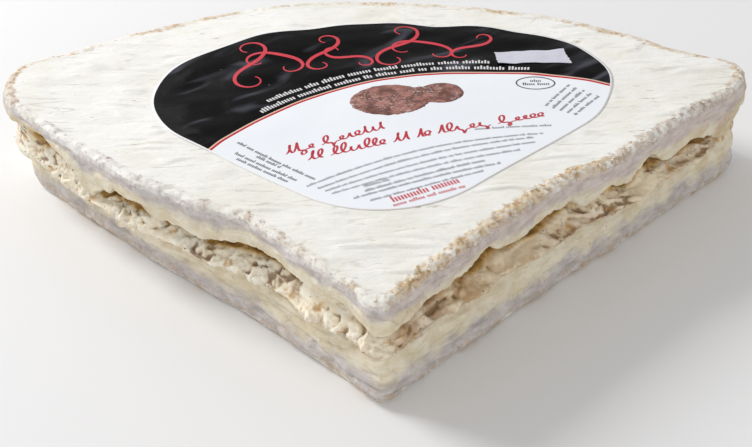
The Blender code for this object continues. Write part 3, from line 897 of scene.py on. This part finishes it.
def lobes():
    """Thin plate: two ovals seen from a point between them, the farther one in each direction.

    A ray at distance r is on an oval where a r^2 - 2 b r + c = 0, in the oval's own axes.
    """
    angle = np.linspace(0.0, 2.0 * math.pi, 121)[:-1]
    reach = np.zeros_like(angle)
    for lobe_x, lobe_y, wide, tall, turn in LOBES:
        way_x = np.cos(angle - turn) / wide
        way_y = np.sin(angle - turn) / tall
        own_x, own_y = carried(lobe_x, lobe_y, -turn, (0.0, 0.0))
        back_x, back_y = own_x / wide, own_y / tall
        a = way_x ** 2 + way_y ** 2
        b = way_x * back_x + way_y * back_y
        c = back_x ** 2 + back_y ** 2 - 1.0
        inside = np.maximum(b * b - a * c, 0.0)
        reach = np.maximum(reach, (b + np.sqrt(inside)) / a)
    reach += 0.5 * noise(8.0 * np.cos(angle), 8.0 * np.sin(angle), seed=95)
    rows = []
    for lift, shares in ((INK, np.linspace(0.1, 1.0, 14)), (-INK, np.linspace(1.0, 0.1, 5))):
        for share in shares:
            x = LOBES_CENTRE[0] + share * reach * np.cos(angle)
            y = LOBES_CENTRE[1] + share * reach * np.sin(angle)
            rows.append((x, y, film_height(x, y) + lift))
    return grid_body("brown_shape", *stacked(rows))


brown_shape = lobes()
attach(brown_shape, "root")

# %% [markdown]
# Sticker: a strip of paper torn off at both ends. Top and underside are the same grid of two
# parameters, a paper's thickness apart, and two of its corners lift a little.

# %% Price sticker
STICKER_CENTRE, STICKER_TURN, PAPER = (53.3, 41.0), math.radians(-4), 0.12


def price_sticker():
    """Paper strip: u along it, v across it, torn ends, and corners that lift where u * v is large."""
    u, v = np.meshgrid(np.linspace(-1.0, 1.0, 61), np.linspace(-1.0, 1.0, 21))
    torn = 0.5 * noise(v * 2.6, 4.0, seed=101) + 0.25 * noise(v * 7.0, 9.0, seed=102)
    own_x = u * (12.2 + torn + np.where(u > 0, -1.4 * v, 0.6 * v))
    own_y = v * (4.6 + 0.35 * noise(u * 3.0, 2.0, seed=103)) - 0.5 * u * u
    x, y = carried(own_x, own_y, STICKER_TURN, STICKER_CENTRE)
    lift = 0.08 + 0.5 * smooth(u * v, 0.5, 1.0) + 0.06 * (1.0 + noise(x / 4.0, y / 4.0, seed=104))
    top = film_height(x, y) + lift + PAPER
    points = [np.stack([x, y, height], -1).reshape(-1, 3) for height in (top, top - PAPER)]
    here = np.arange(x.size).reshape(x.shape)
    upper_faces = np.stack([here[:-1, :-1], here[:-1, 1:], here[1:, 1:], here[1:, :-1]], -1)
    upper_faces = upper_faces.reshape(-1, 4)
    under_faces = upper_faces[:, ::-1] + x.size
    edge = np.concatenate([here[0, :-1], here[:-1, -1], here[-1, :0:-1], here[:0:-1, 0]])
    after = np.roll(edge, -1)
    walls = np.stack([edge, edge + x.size, after + x.size, after], -1)
    faces = upper_faces.tolist() + under_faces.tolist() + walls.tolist()
    return mesh_object("torn_sticker", np.concatenate(points), faces)


sticker = price_sticker()
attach(sticker, "root")
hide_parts("price_sticker")

# %% [markdown]
# Materials are small graphs of nodes. The helper below keeps each graph readable: a pattern is
# always asked for by its size in millimetres, and a colour as it is seen on a screen.

# %% Helper for materials
def linear(red, green, blue):
    """Screen colour, 0 to 255, as the linear light that shaders use."""
    share = np.array([red, green, blue]) / 255.0
    light = np.where(share <= 0.04045, share / 12.92, ((share + 0.055) / 1.055) ** 2.4)
    return (*light.tolist(), 1.0)


class Graph:
    """A material's nodes, with short names for the few kinds that this cheese needs."""

    def __init__(self, name, roughness=0.6):
        self.material = bpy.data.materials.new(name)
        self.material.use_nodes = True
        self.tree = self.material.node_tree
        self.shader = self.tree.nodes["Principled BSDF"]
        self.shader.inputs["Roughness"].default_value = roughness
        metres = self.add("TexCoord", "Object", {})
        self.place = self.add("Mapping", "Vector", {"Vector": metres, "Scale": (1.0 / MM,) * 3})

    def link(self, source, target):
        """Joins a socket, or sets a number or colour, on a target socket."""
        if isinstance(source, bpy.types.NodeSocket):
            self.tree.links.new(source, target)
        else:
            target.default_value = source

    def add(self, kind, output, inputs, **settings):
        """A node with its settings made, its inputs joined or set, and one of its outputs."""
        node = self.tree.nodes.new("ShaderNode" + kind)
        for name, value in settings.items():
            setattr(node, name, value)
        for name, value in inputs.items():
            self.link(value, node.inputs[name])
        return node.outputs[output]

    def turned(self, degrees, along, across):
        """The place in mm seen in axes turned about Z, divided by a length along and one across."""
        turn = (0.0, 0.0, math.radians(degrees))
        return self.add("Mapping", "Vector", {"Vector": self.place, "Rotation": turn,
                                              "Scale": (along, across, 1.0)}, vector_type="TEXTURE")

    def stretched(self, *scale):
        """The place in mm, multiplied along each axis."""
        return self.add("Mapping", "Vector", {"Vector": self.place, "Scale": scale})

    def noise(self, size, detail=3.0, rough=0.55, place=None, bend=0.0):
        """Noise with features of about `size` mm."""
        return self.add("TexNoise", "Fac", {"Vector": place or self.place, "Scale": 1.0 / size,
                                            "Detail": detail, "Roughness": rough, "Distortion": bend})

    def layer(self, name):
        """A number painted on the mesh."""
        return self.add("Attribute", "Fac", {}, attribute_name=name)

    def math(self, kind, first, second=0.0):
        """One step of arithmetic."""
        return self.add("Math", 0, {0: first, 1: second}, operation=kind)

    def times(self, first, second):
        """Product: where both are 1, or a share made weaker."""
        return self.math("MULTIPLY", first, second)

    def plus(self, first, second):
        """Sum."""
        return self.math("ADD", first, second)

    def less(self, first, second):
        """Difference."""
        return self.math("SUBTRACT", first, second)

    def ramp(self, value, low, high):
        """0 below `low`, 1 above `high`, and an S between them."""
        return self.add("MapRange", "Result", {"Value": value, "From Min": low, "From Max": high},
                        interpolation_type="SMOOTHSTEP")

    def patches(self, size, low, high, *more):
        """Patches of about `size` mm: 1 where the noise is above `high`, 0 where it is below `low`."""
        return self.ramp(self.noise(size, *more), low, high)

    def mix(self, share, first, second):
        """Colour that goes from first to second; each is a socket or a screen colour."""
        first, second = (end if isinstance(end, bpy.types.NodeSocket) else linear(*end)
                         for end in (first, second))
        return self.add("Mix", 2, {0: share, 6: first, 7: second}, data_type="RGBA")

    def over(self, under, top, share, strength):
        """Colour `top` laid on `under` by a share, at most as strong as `strength`."""
        return self.mix(self.times(share, strength), under, top)

    def lines(self, pattern):
        """Thin lines: 1 where the pattern crosses its middle, 0.5, and 0 at 0.022 from it."""
        return self.ramp(self.math("ABSOLUTE", self.less(pattern, 0.5)), 0.022, 0.0)

    def colour(self, value):
        """Joins the finished colour to the shader."""
        self.link(value, self.shader.inputs["Base Color"])

    def rough(self, value, low, high):
        """Roughness that goes from low to high with the value."""
        result = self.add("MapRange", "Result", {"Value": value, "To Min": low, "To Max": high})
        self.link(result, self.shader.inputs["Roughness"])

    def bump(self, height, depth, before=None):
        """Fine relief, `depth` in mm, on top of any relief made before."""
        inputs = {"Height": height, "Distance": depth * MM, "Strength": 1.0}
        if before is not None:
            inputs["Normal"] = before
        relief = self.add("Bump", "Normal", inputs)
        self.link(relief, self.shader.inputs["Normal"])
        return relief

    def give(self, *pieces):
        """Puts the material on the pieces."""
        for piece in pieces:
            piece.data.materials.clear()
            piece.data.materials.append(self.material)
        print(self.material.name, "on", ", ".join(piece.name for piece in pieces))


# %% [markdown]
# The crust is white mould, a little warmer in broad patches, with faint streaks, small dark nicks,
# and thin threads along its pleats that are grooves darkened with painted shade. At the rim it has
# dried into scabs, grey on the left cut and tan on the right one, with burnt brown spots inside them.
# Where the rim dips between its tufts, painted shade darkens it, tan on the right and grey on the
# left.

# %% Colours of the crust
def rim_scabs(g, near_rim, tan_zone):
    """Where scabs are: a noise that is raised in the tan zone, within the rim's frayed reach."""
    scab = g.noise(3.4, 4.0, 0.6, g.stretched(1.0, 1.0, 0.6))
    level = g.plus(g.less(scab, 0.05), g.times(tan_zone, 0.10))
    patches = g.plus(g.times(g.patches(13.0, 0.44, 0.60, 2.0), 0.75), 0.25)
    right_patches = g.plus(g.times(g.patches(8.0, 0.40, 0.56, 2.0), 0.50), 0.42)
    patches = g.math("MAXIMUM", patches, g.times(g.layer("right"), right_patches))
    frayed = g.plus(near_rim, g.times(g.less(g.noise(2.0), 0.5), 1.1))
    reach = g.times(g.ramp(frayed, 0.12, 0.6), g.ramp(near_rim, 0.0, 0.15))
    return g.times(g.ramp(level, 0.38, 0.56), g.times(reach, patches))


def crust_colour(g, near_rim, tan_zone, threads):
    """White, then streaks, thread grooves darkened as painted shade, nicks, scabs and burnt spots,
    each laid over the last.
    """
    crust = g.mix(g.patches(24.0, 0.38, 0.66), (249, 248, 244), (242, 240, 231))
    streaks = g.noise(4.0, 4.0, 0.6, g.stretched(0.30, 1.4, 1.0), 0.5)
    crust = g.over(crust, (221, 219, 212), g.ramp(streaks, 0.55, 0.75), 0.35)
    # Painted shade: the thin thread grooves are darkened.
    crust = g.over(crust, (192, 187, 172), threads, 0.32)
    nicks = g.noise(2.2, 2.0, 0.6, g.stretched(0.36, 1.6, 1.0), 0.6)
    nicks = g.times(g.ramp(nicks, 0.655, 0.72), g.patches(19.0, 0.43, 0.58, 1.0))
    crust = g.over(crust, (164, 152, 128), nicks, 0.6)
    scabs = rim_scabs(g, near_rim, tan_zone)
    crust = g.over(crust, g.mix(tan_zone, (206, 197, 193), (221, 195, 152)), scabs, 0.85)
    burnt = g.times(g.patches(1.7, 0.50, 0.62), scabs)
    return g.over(crust, g.mix(tan_zone, (166, 152, 146), (178, 136, 86)), burnt, 0.8)


# %% [markdown]
# The cut face is ivory paste under a grey bloom of mould. The knife drew streaks along it, fine
# hairs hang from the rim, and it gets yellower toward its moist lip and golden at its dry corners.

# %% Colours of the cut face
def face_colour(g, down, near_rim, tan_zone, streaks, corners):
    """Grey bloom above and ivory below, then corners, specks, and the brow under the rim in scab
    colour and painted shade under the tufts.
    """
    bloom = g.patches(5.0, 0.35, 0.68, 4.0, 0.6, g.stretched(1.0, 1.0, 2.0))
    left_grey = g.mix(bloom, (213, 206, 203), (189, 181, 178))
    right_grey = g.mix(bloom, (222, 209, 203), (200, 185, 178))
    grey = g.mix(g.layer("right"), left_grey, right_grey)
    hairs = g.patches(1.1, 0.50, 0.68, 3.0, 0.7, g.stretched(1.0, 1.0, 0.22))
    grey = g.over(grey, (168, 148, 140), hairs, g.times(g.ramp(down, 0.45, 0.0), 0.36))
    grey = g.over(grey, (168, 156, 150), g.ramp(streaks, 0.50, 0.66), 0.42)
    grey = g.over(grey, (232, 226, 220), g.ramp(streaks, 0.46, 0.34), 0.35)

    ivory = g.mix(g.patches(6.0, 0.4, 0.65), (240, 231, 208), (226, 213, 183))
    ivory = g.over(ivory, (206, 178, 130), g.ramp(streaks, 0.52, 0.66), 0.30)
    wet = g.plus(down, g.times(g.noise(8.0), 0.9))
    moist = g.ramp(g.less(wet, g.times(g.layer("right"), 0.2)), 0.68, 1.12)
    face = g.mix(moist, grey, ivory)
    if corners:
        corner = g.times(g.layer("golden"), g.ramp(down, 0.15, 0.8))
        corner = g.times(corner, g.patches(6.5, 0.36, 0.60))
        face = g.over(face, (204, 176, 122), corner, 0.65)

    specks = g.patches(0.8, 0.64, 0.72, 2.0, 0.7, g.stretched(1.0, 1.0, 0.5))
    specks = g.times(specks, g.patches(11.0, 0.42, 0.60, 2.0))
    face = g.over(face, (140, 122, 112), specks, 0.6)
    # Brow: scab colour reaching down from the rim, partly painted shade under the overhanging tufts.
    brow = g.times(g.patches(2.6, 0.46, 0.60), near_rim)
    return g.over(face, g.mix(tan_zone, (190, 174, 166), (196, 168, 130)), brow, 0.7)


# %% [markdown]
# One material shows crust and cut face, and the numbers painted on the mesh say which is where.
# Their border isn't a clean line: noise makes the mould reach over the face in tongues. Light
# goes a little way into paste, so a small part of it is scattered under the surface.

# %% Crust and paste material
def slice_material(name, upper_one):
    """Crust mixed with cut face where `on_face`, deepened down the face and ragged by noise, says."""
    g = Graph(name, roughness=0.75)
    down, near_rim, tan_zone = g.layer("down"), g.layer("near_rim"), g.layer("tan_zone")
    # Threads: thin grooves along the pleats, sunk by the bump and darkened as painted shade.
    threads = g.lines(g.noise(7.0, 0.0, 0.5, g.stretched(0.20, 1.25, 1.0)))
    threads = g.times(threads, g.patches(8.0, 0.48, 0.64, 2.0))
    streaks = g.noise(2.4, 4.0, 0.65, g.stretched(0.30, 0.30, 1.7), 0.6)

    crust = crust_colour(g, near_rim, tan_zone, threads)
    if upper_one:
        # Painted shade in the pits between the rim's tufts: tan on the right cut, grey on the left.
        pit_shade = g.mix(tan_zone, (192, 180, 174), (184, 146, 98))
        crust = g.over(crust, pit_shade, g.layer("pit"), 0.8)
    face = face_colour(g, down, near_rim, tan_zone, streaks, corners=upper_one)
    tongues = g.plus(g.times(g.noise(1.3, 4.0, 0.7), 0.5), g.times(g.noise(6.0, 2.0), 0.6))
    deepened = g.plus(g.times(g.ramp(down, 0.0, 0.30), 0.5), 0.42)
    edge = g.ramp(g.plus(g.times(g.layer("on_face"), deepened), tongues), 0.80, 1.16)
    g.colour(g.mix(edge, crust, face))
    g.rough(edge, 0.8, 0.55)

    relief = g.bump(g.noise(0.6, 4.0, 0.65), 0.12)
    fuzz = g.noise(2.2, 4.0, 0.62, g.stretched(0.5, 1.3, 1.0), 0.4)
    relief = g.bump(fuzz, 0.45, relief)
    relief = g.bump(g.times(streaks, edge), 0.30, relief)
    if upper_one:
        g.bump(g.less(1.0, threads), 0.16, relief)
    g.shader.inputs["Subsurface Weight"].default_value = 0.10
    g.shader.inputs["Subsurface Radius"].default_value = (0.004, 0.003, 0.0018)
    return g


slice_material("crust and paste", upper_one=True).give(upper)
slice_material("lower paste and crust", upper_one=False).give(lower)


# %% [markdown]
# The cream is pale where it is freshly torn. It is golden near the tip of the right cut and browner in
# patches low down. Painted shade darkens its creases and thin cracks, and most of all the hollows
# under the lip, in gold and brown.
# Flecks of truffle crowd in some parts of it and are missing in others.

# %% Truffle cream material
def cream_material():
    """Pale cream, then gold, grey, painted shade in creases, spots, low brown patches, cracks darkened
    as painted shade, painted shade in the hollows, and truffle flecks.
    """
    g = Graph("truffle cream", roughness=0.45)
    right, crease = g.layer("right"), g.layer("crease")
    cream = g.mix(g.patches(7.0, 0.35, 0.65, 4.0), (254, 249, 234), (248, 237, 213))
    cream = g.over(cream, (247, 230, 199), right, 0.8)
    near_tip = g.times(right, g.ramp(g.layer("from_tip"), 75.0, 25.0))
    golden = g.times(near_tip, g.patches(9.0, 0.36, 0.62))
    cream = g.over(cream, (184, 140, 78), golden, 0.88)
    cream = g.over(cream, (216, 200, 190), g.patches(22.0, 0.50, 0.60, 2.0), 0.35)
    # Painted shade in the creases: pale brown, then dark brown where deepest.
    cream = g.over(cream, (200, 172, 134), g.ramp(crease, 0.12, 0.70), 0.52)
    cream = g.over(cream, (128, 96, 66), g.ramp(crease, 0.52, 0.92), 0.70)
    spots = g.patches(4.2, 0.54, 0.63, 4.0, 0.6)
    spots = g.times(spots, g.patches(15.0, 0.44, 0.60, 2.0))
    cream = g.over(cream, (206, 160, 86), spots, 0.70)
    # Browner patches low down on the torn side, where low is painted.
    low_patches = g.times(g.patches(6.0, 0.46, 0.60), g.layer("low"))
    cream = g.over(cream, (192, 146, 84), low_patches, 0.8)
    # Thin cracks, darkened as painted shade and sunk by the bump.
    cracks = g.times(g.lines(g.noise(5.0, 3.0, 0.6)), g.patches(8.0, 0.50, 0.62, 2.0))
    cream = g.over(cream, (170, 140, 104), cracks, 0.45)

    # Painted shade in the hollows under the lip: gold, then brown where deepest.
    shade = g.times(g.layer("hollow"), g.plus(g.noise(5.0), 0.45))
    cream = g.mix(g.ramp(shade, 0.46, 0.95), cream, (214, 172, 90))
    cream = g.mix(g.ramp(shade, 0.72, 1.15), cream, (120, 82, 40))
    flecks = g.patches(1.3, 0.63, 0.70, 3.0, 0.7)
    flecks = g.times(flecks, g.patches(16.0, 0.46, 0.62, 2.0))
    g.colour(g.over(cream, (120, 104, 90), flecks, 0.7))
    g.rough(g.noise(3.0, 2.0), 0.35, 0.6)
    relief = g.bump(g.noise(1.1, 6.0, 0.7), 0.32)
    g.bump(g.less(1.0, cracks), 0.15, relief)
    g.shader.inputs["Subsurface Weight"].default_value = 0.12
    g.shader.inputs["Subsurface Radius"].default_value = (0.004, 0.003, 0.0015)
    return g


cream_material().give(cream)


# %% [markdown]
# The film's print is fields of colour, so the material measures them: the dark band is all that is
# farther from the band's centre than its radius, two thin lines follow the same circle, and the
# pale margin is the last ring of the sheet.

# %% Label material
RED_LINE = (BAND_RADIUS - 1.0, BAND_RADIUS - 0.1)
CREAM_LINE = (BAND_RADIUS - 0.1, BAND_RADIUS + 0.5)


def film_material():
    """Dark band outside a circle with painted sheen streaks, red and cream lines on it, pale field
    inside it, pale margin.
    """
    g = Graph("printed film", roughness=0.3)
    flat = g.add("VectorMath", "Vector", {0: g.place, 1: (1.0, 1.0, 0.0)}, operation="MULTIPLY")
    radius = g.add("VectorMath", "Value", {0: flat, 1: (*BAND_CENTRE, 0.0)}, operation="DISTANCE")
    white = g.mix(g.noise(30.0, 2.0), (246, 250, 255), (240, 244, 251))
    # Painted sheen: grey blue streaks laid into the black as if it caught the light.
    painted_sheen = g.patches(1.0, 0.50, 0.76, 1.5, 0.5, g.turned(40.0, 46.0, 11.0), 0.8)
    black = g.over((3, 3, 5), (108, 110, 122), painted_sheen, 0.46)
    paper = g.mix(g.math("GREATER_THAN", radius, CREAM_LINE[1]), white, black)
    for (inner, outer), tint in ((RED_LINE, (196, 46, 60)), (CREAM_LINE, (226, 196, 176))):
        line = g.times(g.math("GREATER_THAN", radius, inner), g.math("LESS_THAN", radius, outer))
        paper = g.mix(line, paper, tint)
    margin = g.math("GREATER_THAN", g.layer("margin"), MARGIN_START)
    g.colour(g.mix(margin, paper, (246, 246, 248)))
    g.rough(g.noise(9.0, 2.0), 0.14, 0.26)
    g.bump(g.noise(5.0), 0.10)
    g.shader.inputs["Specular IOR Level"].default_value = 0.05
    return g


film_material().give(film)

# %% [markdown]
# Printed ink is never quite even, so each ink goes between two close colours. The picture is brown
# with darker blots and pale specks, and the sticker is a matt, bluish white paper.

# %% Inks, picture and sticker materials
INKS = (
    ("grey ink", (112, 110, 118), (88, 86, 94), (small_type, side_type)),
    ("black ink", (60, 58, 62), (40, 38, 42), (oval, oval_marks)),
    ("red ink", (204, 48, 66), (184, 36, 56), (red_loops, maker_marks)),
    ("ornament red", (224, 58, 78), (202, 40, 58), (ornament,)),
    ("white ink", (236, 234, 236), (214, 212, 216), (slogan,)),
)
for name, light, deep, pieces in INKS:
    g = Graph(name, roughness=0.4)
    g.colour(g.mix(g.noise(1.2), light, deep))
    g.rough(g.noise(3.0, 2.0), 0.32, 0.48)
    g.give(*pieces)

g = Graph("brown print", roughness=0.45)
blots = g.mix(g.patches(3.4, 0.36, 0.62, 4.0, 0.6), (172, 118, 106), (106, 62, 54))
specks = g.times(g.patches(0.9, 0.53, 0.64, 3.0, 0.7), g.patches(8.0, 0.40, 0.56, 2.0))
g.colour(g.over(blots, (206, 184, 180), specks, 0.8))
g.bump(g.noise(1.2), 0.04)
g.give(brown_shape)

g = Graph("sticker paper", roughness=0.85)
g.colour(g.mix(g.noise(2.5, 4.0, 0.6), (216, 216, 228), (198, 198, 212)))
g.bump(g.noise(0.5), 0.03)
g.give(sticker)


# %% [markdown]
# Crumbs: bits of dried crust cling to the right cut's rim, paler mould dust to the rest of the rim,
# and chips of truffle sit in the cream. There are hundreds, so each is only a twenty-sided stone,
# pulled out of shape, turned and set into the surface at a point of the grid that is drawn with a
# fixed seed.

# %% Crumbs, mould dust and truffle chips
GOLDEN_RATIO = (1.0 + math.sqrt(5.0)) / 2.0
CORNERS = np.array([
    (-1, GOLDEN_RATIO, 0), (1, GOLDEN_RATIO, 0), (-1, -GOLDEN_RATIO, 0), (1, -GOLDEN_RATIO, 0),
    (0, -1, GOLDEN_RATIO), (0, 1, GOLDEN_RATIO), (0, -1, -GOLDEN_RATIO), (0, 1, -GOLDEN_RATIO),
    (GOLDEN_RATIO, 0, -1), (GOLDEN_RATIO, 0, 1), (-GOLDEN_RATIO, 0, -1), (-GOLDEN_RATIO, 0, 1),
]) / math.hypot(1, GOLDEN_RATIO)
SIDES = np.array([
    (0, 11, 5), (0, 5, 1), (0, 1, 7), (0, 7, 10), (0, 10, 11), (1, 5, 9), (5, 11, 4),
    (11, 10, 2), (10, 7, 6), (7, 1, 8), (3, 9, 4), (3, 4, 2), (3, 2, 6), (3, 6, 8),
    (3, 8, 9), (4, 9, 5), (2, 4, 11), (6, 2, 10), (8, 6, 7), (9, 8, 1),
])


def layer_values(body, name):
    """The numbers painted on a body under a name."""
    values = np.empty(len(body.data.vertices))
    body.data.attributes[name].data.foreach_get("value", values)
    return values


def stones(name, surface, weights, count, sizes, seed, flat):
    """Twenty-sided stones at points of a surface drawn by weight, each stretched, turned and moved.

    `seed`, and the two numbers after it, draw the places, the sizes and the shapes.
    """
    flat_list = np.empty(len(surface.data.vertices) * 3)
    surface.data.vertices.foreach_get("co", flat_list)
    chance = weights / weights.sum()
    picks = np.random.default_rng(seed).choice(len(chance), count, replace=False, p=chance)
    places = flat_list.reshape(-1, 3)[picks] / MM
    size = np.random.default_rng(seed + 1).uniform(*sizes, count)

    draw = np.random.default_rng(seed + 2)
    stretch = draw.uniform(0.6, 1.3, (count, 1, 3)) * np.array([1.0, 1.0, flat])
    bumpy = draw.uniform(0.8, 1.2, (count, 12, 1))
    turn = draw.uniform(0.0, 2.0 * math.pi, count)
    cos, sin = np.cos(turn)[:, None], np.sin(turn)[:, None]
    shape = CORNERS[None] * bumpy * stretch * size[:, None, None]
    points = np.stack([shape[..., 0] * cos - shape[..., 1] * sin,
                       shape[..., 0] * sin + shape[..., 1] * cos, shape[..., 2]], -1)
    faces = (SIDES[None] + 12 * np.arange(count)[:, None, None]).reshape(-1, 3)
    points = (points + places[:, None]).reshape(-1, 3)
    body = mesh_object(name, points, faces.tolist(), smooth_faces=True)
    # upness: 0 at a stone's bottom and 1 at its top, which the crumb colour uses partly for painted
    # shade.
    upness = np.tile(0.5 + 0.5 * CORNERS[:, 2], count)
    layer = body.data.attributes.new("upness", "FLOAT", "POINT")
    layer.data.foreach_set("value", upness.astype(np.float32))
    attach(body, "root")
    return body


near_the_rim = np.clip(layer_values(upper, "near_rim") - 0.35, 0.0, None)
on_the_right = layer_values(upper, "right")
crumbs = stones("rim_crumbs", upper, near_the_rim * on_the_right, 150, (0.20, 0.55), 5, 0.7)
dust = stones("rim_dust", upper, near_the_rim * (1.02 - on_the_right), 90, (0.15, 0.45), 15, 0.6)
chip_weight = (layer_values(cream, "on_cut") > 0.8) * (layer_values(cream, "crease") < 0.6)
from_tip = np.abs(layer_values(cream, "from_tip"))
chip_weight = chip_weight * (0.15 + 0.85 * smooth(from_tip, 80.0, 140.0))
chips = stones("truffle_chips", cream, chip_weight, 240, (0.10, 0.30), 8, 0.8)

# %% [markdown]
# A crumb is tan below and pale on top, which is partly its dried colour and partly painted shade
# under it. Dust is grey white all over, and a chip is dark brown.

# %% Crumb, dust and chip materials
g = Graph("dried crust", roughness=0.8)
# Tan underside and pale top by the upness: partly dried colour, partly painted shade.
foot = g.mix(g.patches(5.0, 0.4, 0.6, 2.0), (214, 192, 156), (172, 136, 92))
g.colour(g.mix(g.ramp(g.layer("upness"), 0.35, 0.85), foot, (242, 237, 222)))
g.bump(g.noise(0.3, 2.0), 0.05)
g.give(crumbs)

g = Graph("grey mould dust", roughness=0.85)
g.colour(g.mix(g.patches(3.0, 0.4, 0.6, 2.0), (238, 233, 228), (212, 202, 196)))
g.bump(g.noise(0.3, 2.0), 0.05)
g.give(dust)

g = Graph("truffle chip", roughness=0.6)
g.colour(g.mix(g.noise(1.0, 2.0), (128, 110, 94), (84, 70, 60)))
g.bump(g.noise(0.3, 2.0), 0.05)
g.give(chips)

# %% [markdown]
# Stage: a plain pale floor that runs far behind the cheese, a hair below it.

# %% Floor
FLOOR_REACH, FLOOR_LEVEL = 3000.0, -0.2

floor_corners = [(x * FLOOR_REACH, y * FLOOR_REACH, FLOOR_LEVEL)
                 for x, y in ((-1, -1), (1, -1), (1, 1), (-1, 1))]
floor = mesh_object("floor", floor_corners, [(0, 1, 2, 3)])
g = Graph("pale floor", roughness=0.7)
g.colour(g.mix(g.noise(300.0, 1.0), (240, 240, 241), (237, 237, 238)))
g.give(floor)


# %% [markdown]
# Light: a soft key light above and behind on the left, a weak strip from behind, a fill from the
# front and an even pale sky. Together they keep the crust bright and the right cut in soft shade.

# %% Lights and sky
def placed(right, up, back, place):
    """Matrix of a camera or a lamp from its three axes and its place: it looks against `back`."""
    rows = [(right[i], up[i], back[i], place[i]) for i in range(3)]
    return Matrix(rows + [(0.0, 0.0, 0.0, 1.0)])


def area_light(name, place, target, size, power):
    """Soft rectangular light at `place`, in metres, that faces `target`."""
    data = bpy.data.lights.new(name, "AREA")
    data.shape = "RECTANGLE"
    data.size, data.size_y = size
    data.energy = power
    lamp = bpy.data.objects.new(name, data)
    bpy.context.scene.collection.objects.link(lamp)
    back = np.array(place) - np.array(target)
    back /= np.linalg.norm(back)
    side = np.cross([0.0, 0.0, 1.0], back)
    side /= np.linalg.norm(side)
    lamp.matrix_world = placed(side, np.cross(back, side), back, place)
    print(name, "at", place, "with", power, "W")


area_light("key softbox", (-1.05, 0.63, 0.87), (0.0, 0.0, 0.03), (0.5, 0.5), 15.6)
area_light("front fill", (0.25, -1.2, 0.38), (0.0, 0.0, 0.02), (0.8, 0.6), 2.2)
area_light("back strip", (-0.45, 1.0, 0.72), (-0.02, 0.0, 0.03), (0.4, 0.2), 0.4)

world = bpy.data.worlds.new("studio")
world.use_nodes = True
sky = world.node_tree.nodes["Background"]
sky.inputs["Color"].default_value = (0.985, 0.975, 0.965, 1.0)
sky.inputs["Strength"].default_value = 0.55
bpy.context.scene.world = world
bpy.context.scene.view_settings.view_transform = "Standard"

# %% [markdown]
# Camera: the photographed view was fitted to straight edges and corners of known shape, which gave
# the lens, the height and the small tilt used here. The camera looks down by 35 degrees from
# in front of the tip.

# %% Camera
FOCAL_PIXELS, FRAME_WIDTH, SENSOR_WIDTH = 1378.5, 752, 36.0
CAMERA_TURN, CAMERA_ROLL = math.radians(1.599), math.radians(-1.942)
CAMERA_HEIGHT = math.radians(34.627)
CAMERA_TARGET, CAMERA_DISTANCE = np.array([-1.25, 0.44, -2.5]), 466.2

backward = np.array([math.sin(CAMERA_TURN) * math.cos(CAMERA_HEIGHT),
                     -math.cos(CAMERA_TURN) * math.cos(CAMERA_HEIGHT), math.sin(CAMERA_HEIGHT)])
level = np.cross(-backward, [0.0, 0.0, 1.0])
level /= np.linalg.norm(level)
upright = np.cross(level, -backward)
right = math.cos(CAMERA_ROLL) * level + math.sin(CAMERA_ROLL) * upright
upward = -math.sin(CAMERA_ROLL) * level + math.cos(CAMERA_ROLL) * upright
eye = (CAMERA_TARGET + backward * CAMERA_DISTANCE) * MM

camera_data = bpy.data.cameras.new("camera")
camera_data.sensor_width = SENSOR_WIDTH
camera_data.lens = FOCAL_PIXELS / FRAME_WIDTH * SENSOR_WIDTH
camera = bpy.data.objects.new("camera", camera_data)
bpy.context.scene.collection.objects.link(camera)
camera.matrix_world = placed(right, upward, backward, eye)
bpy.context.scene.camera = camera
print("camera at", np.round(eye, 4).tolist(), "lens", round(camera_data.lens, 2), "mm")
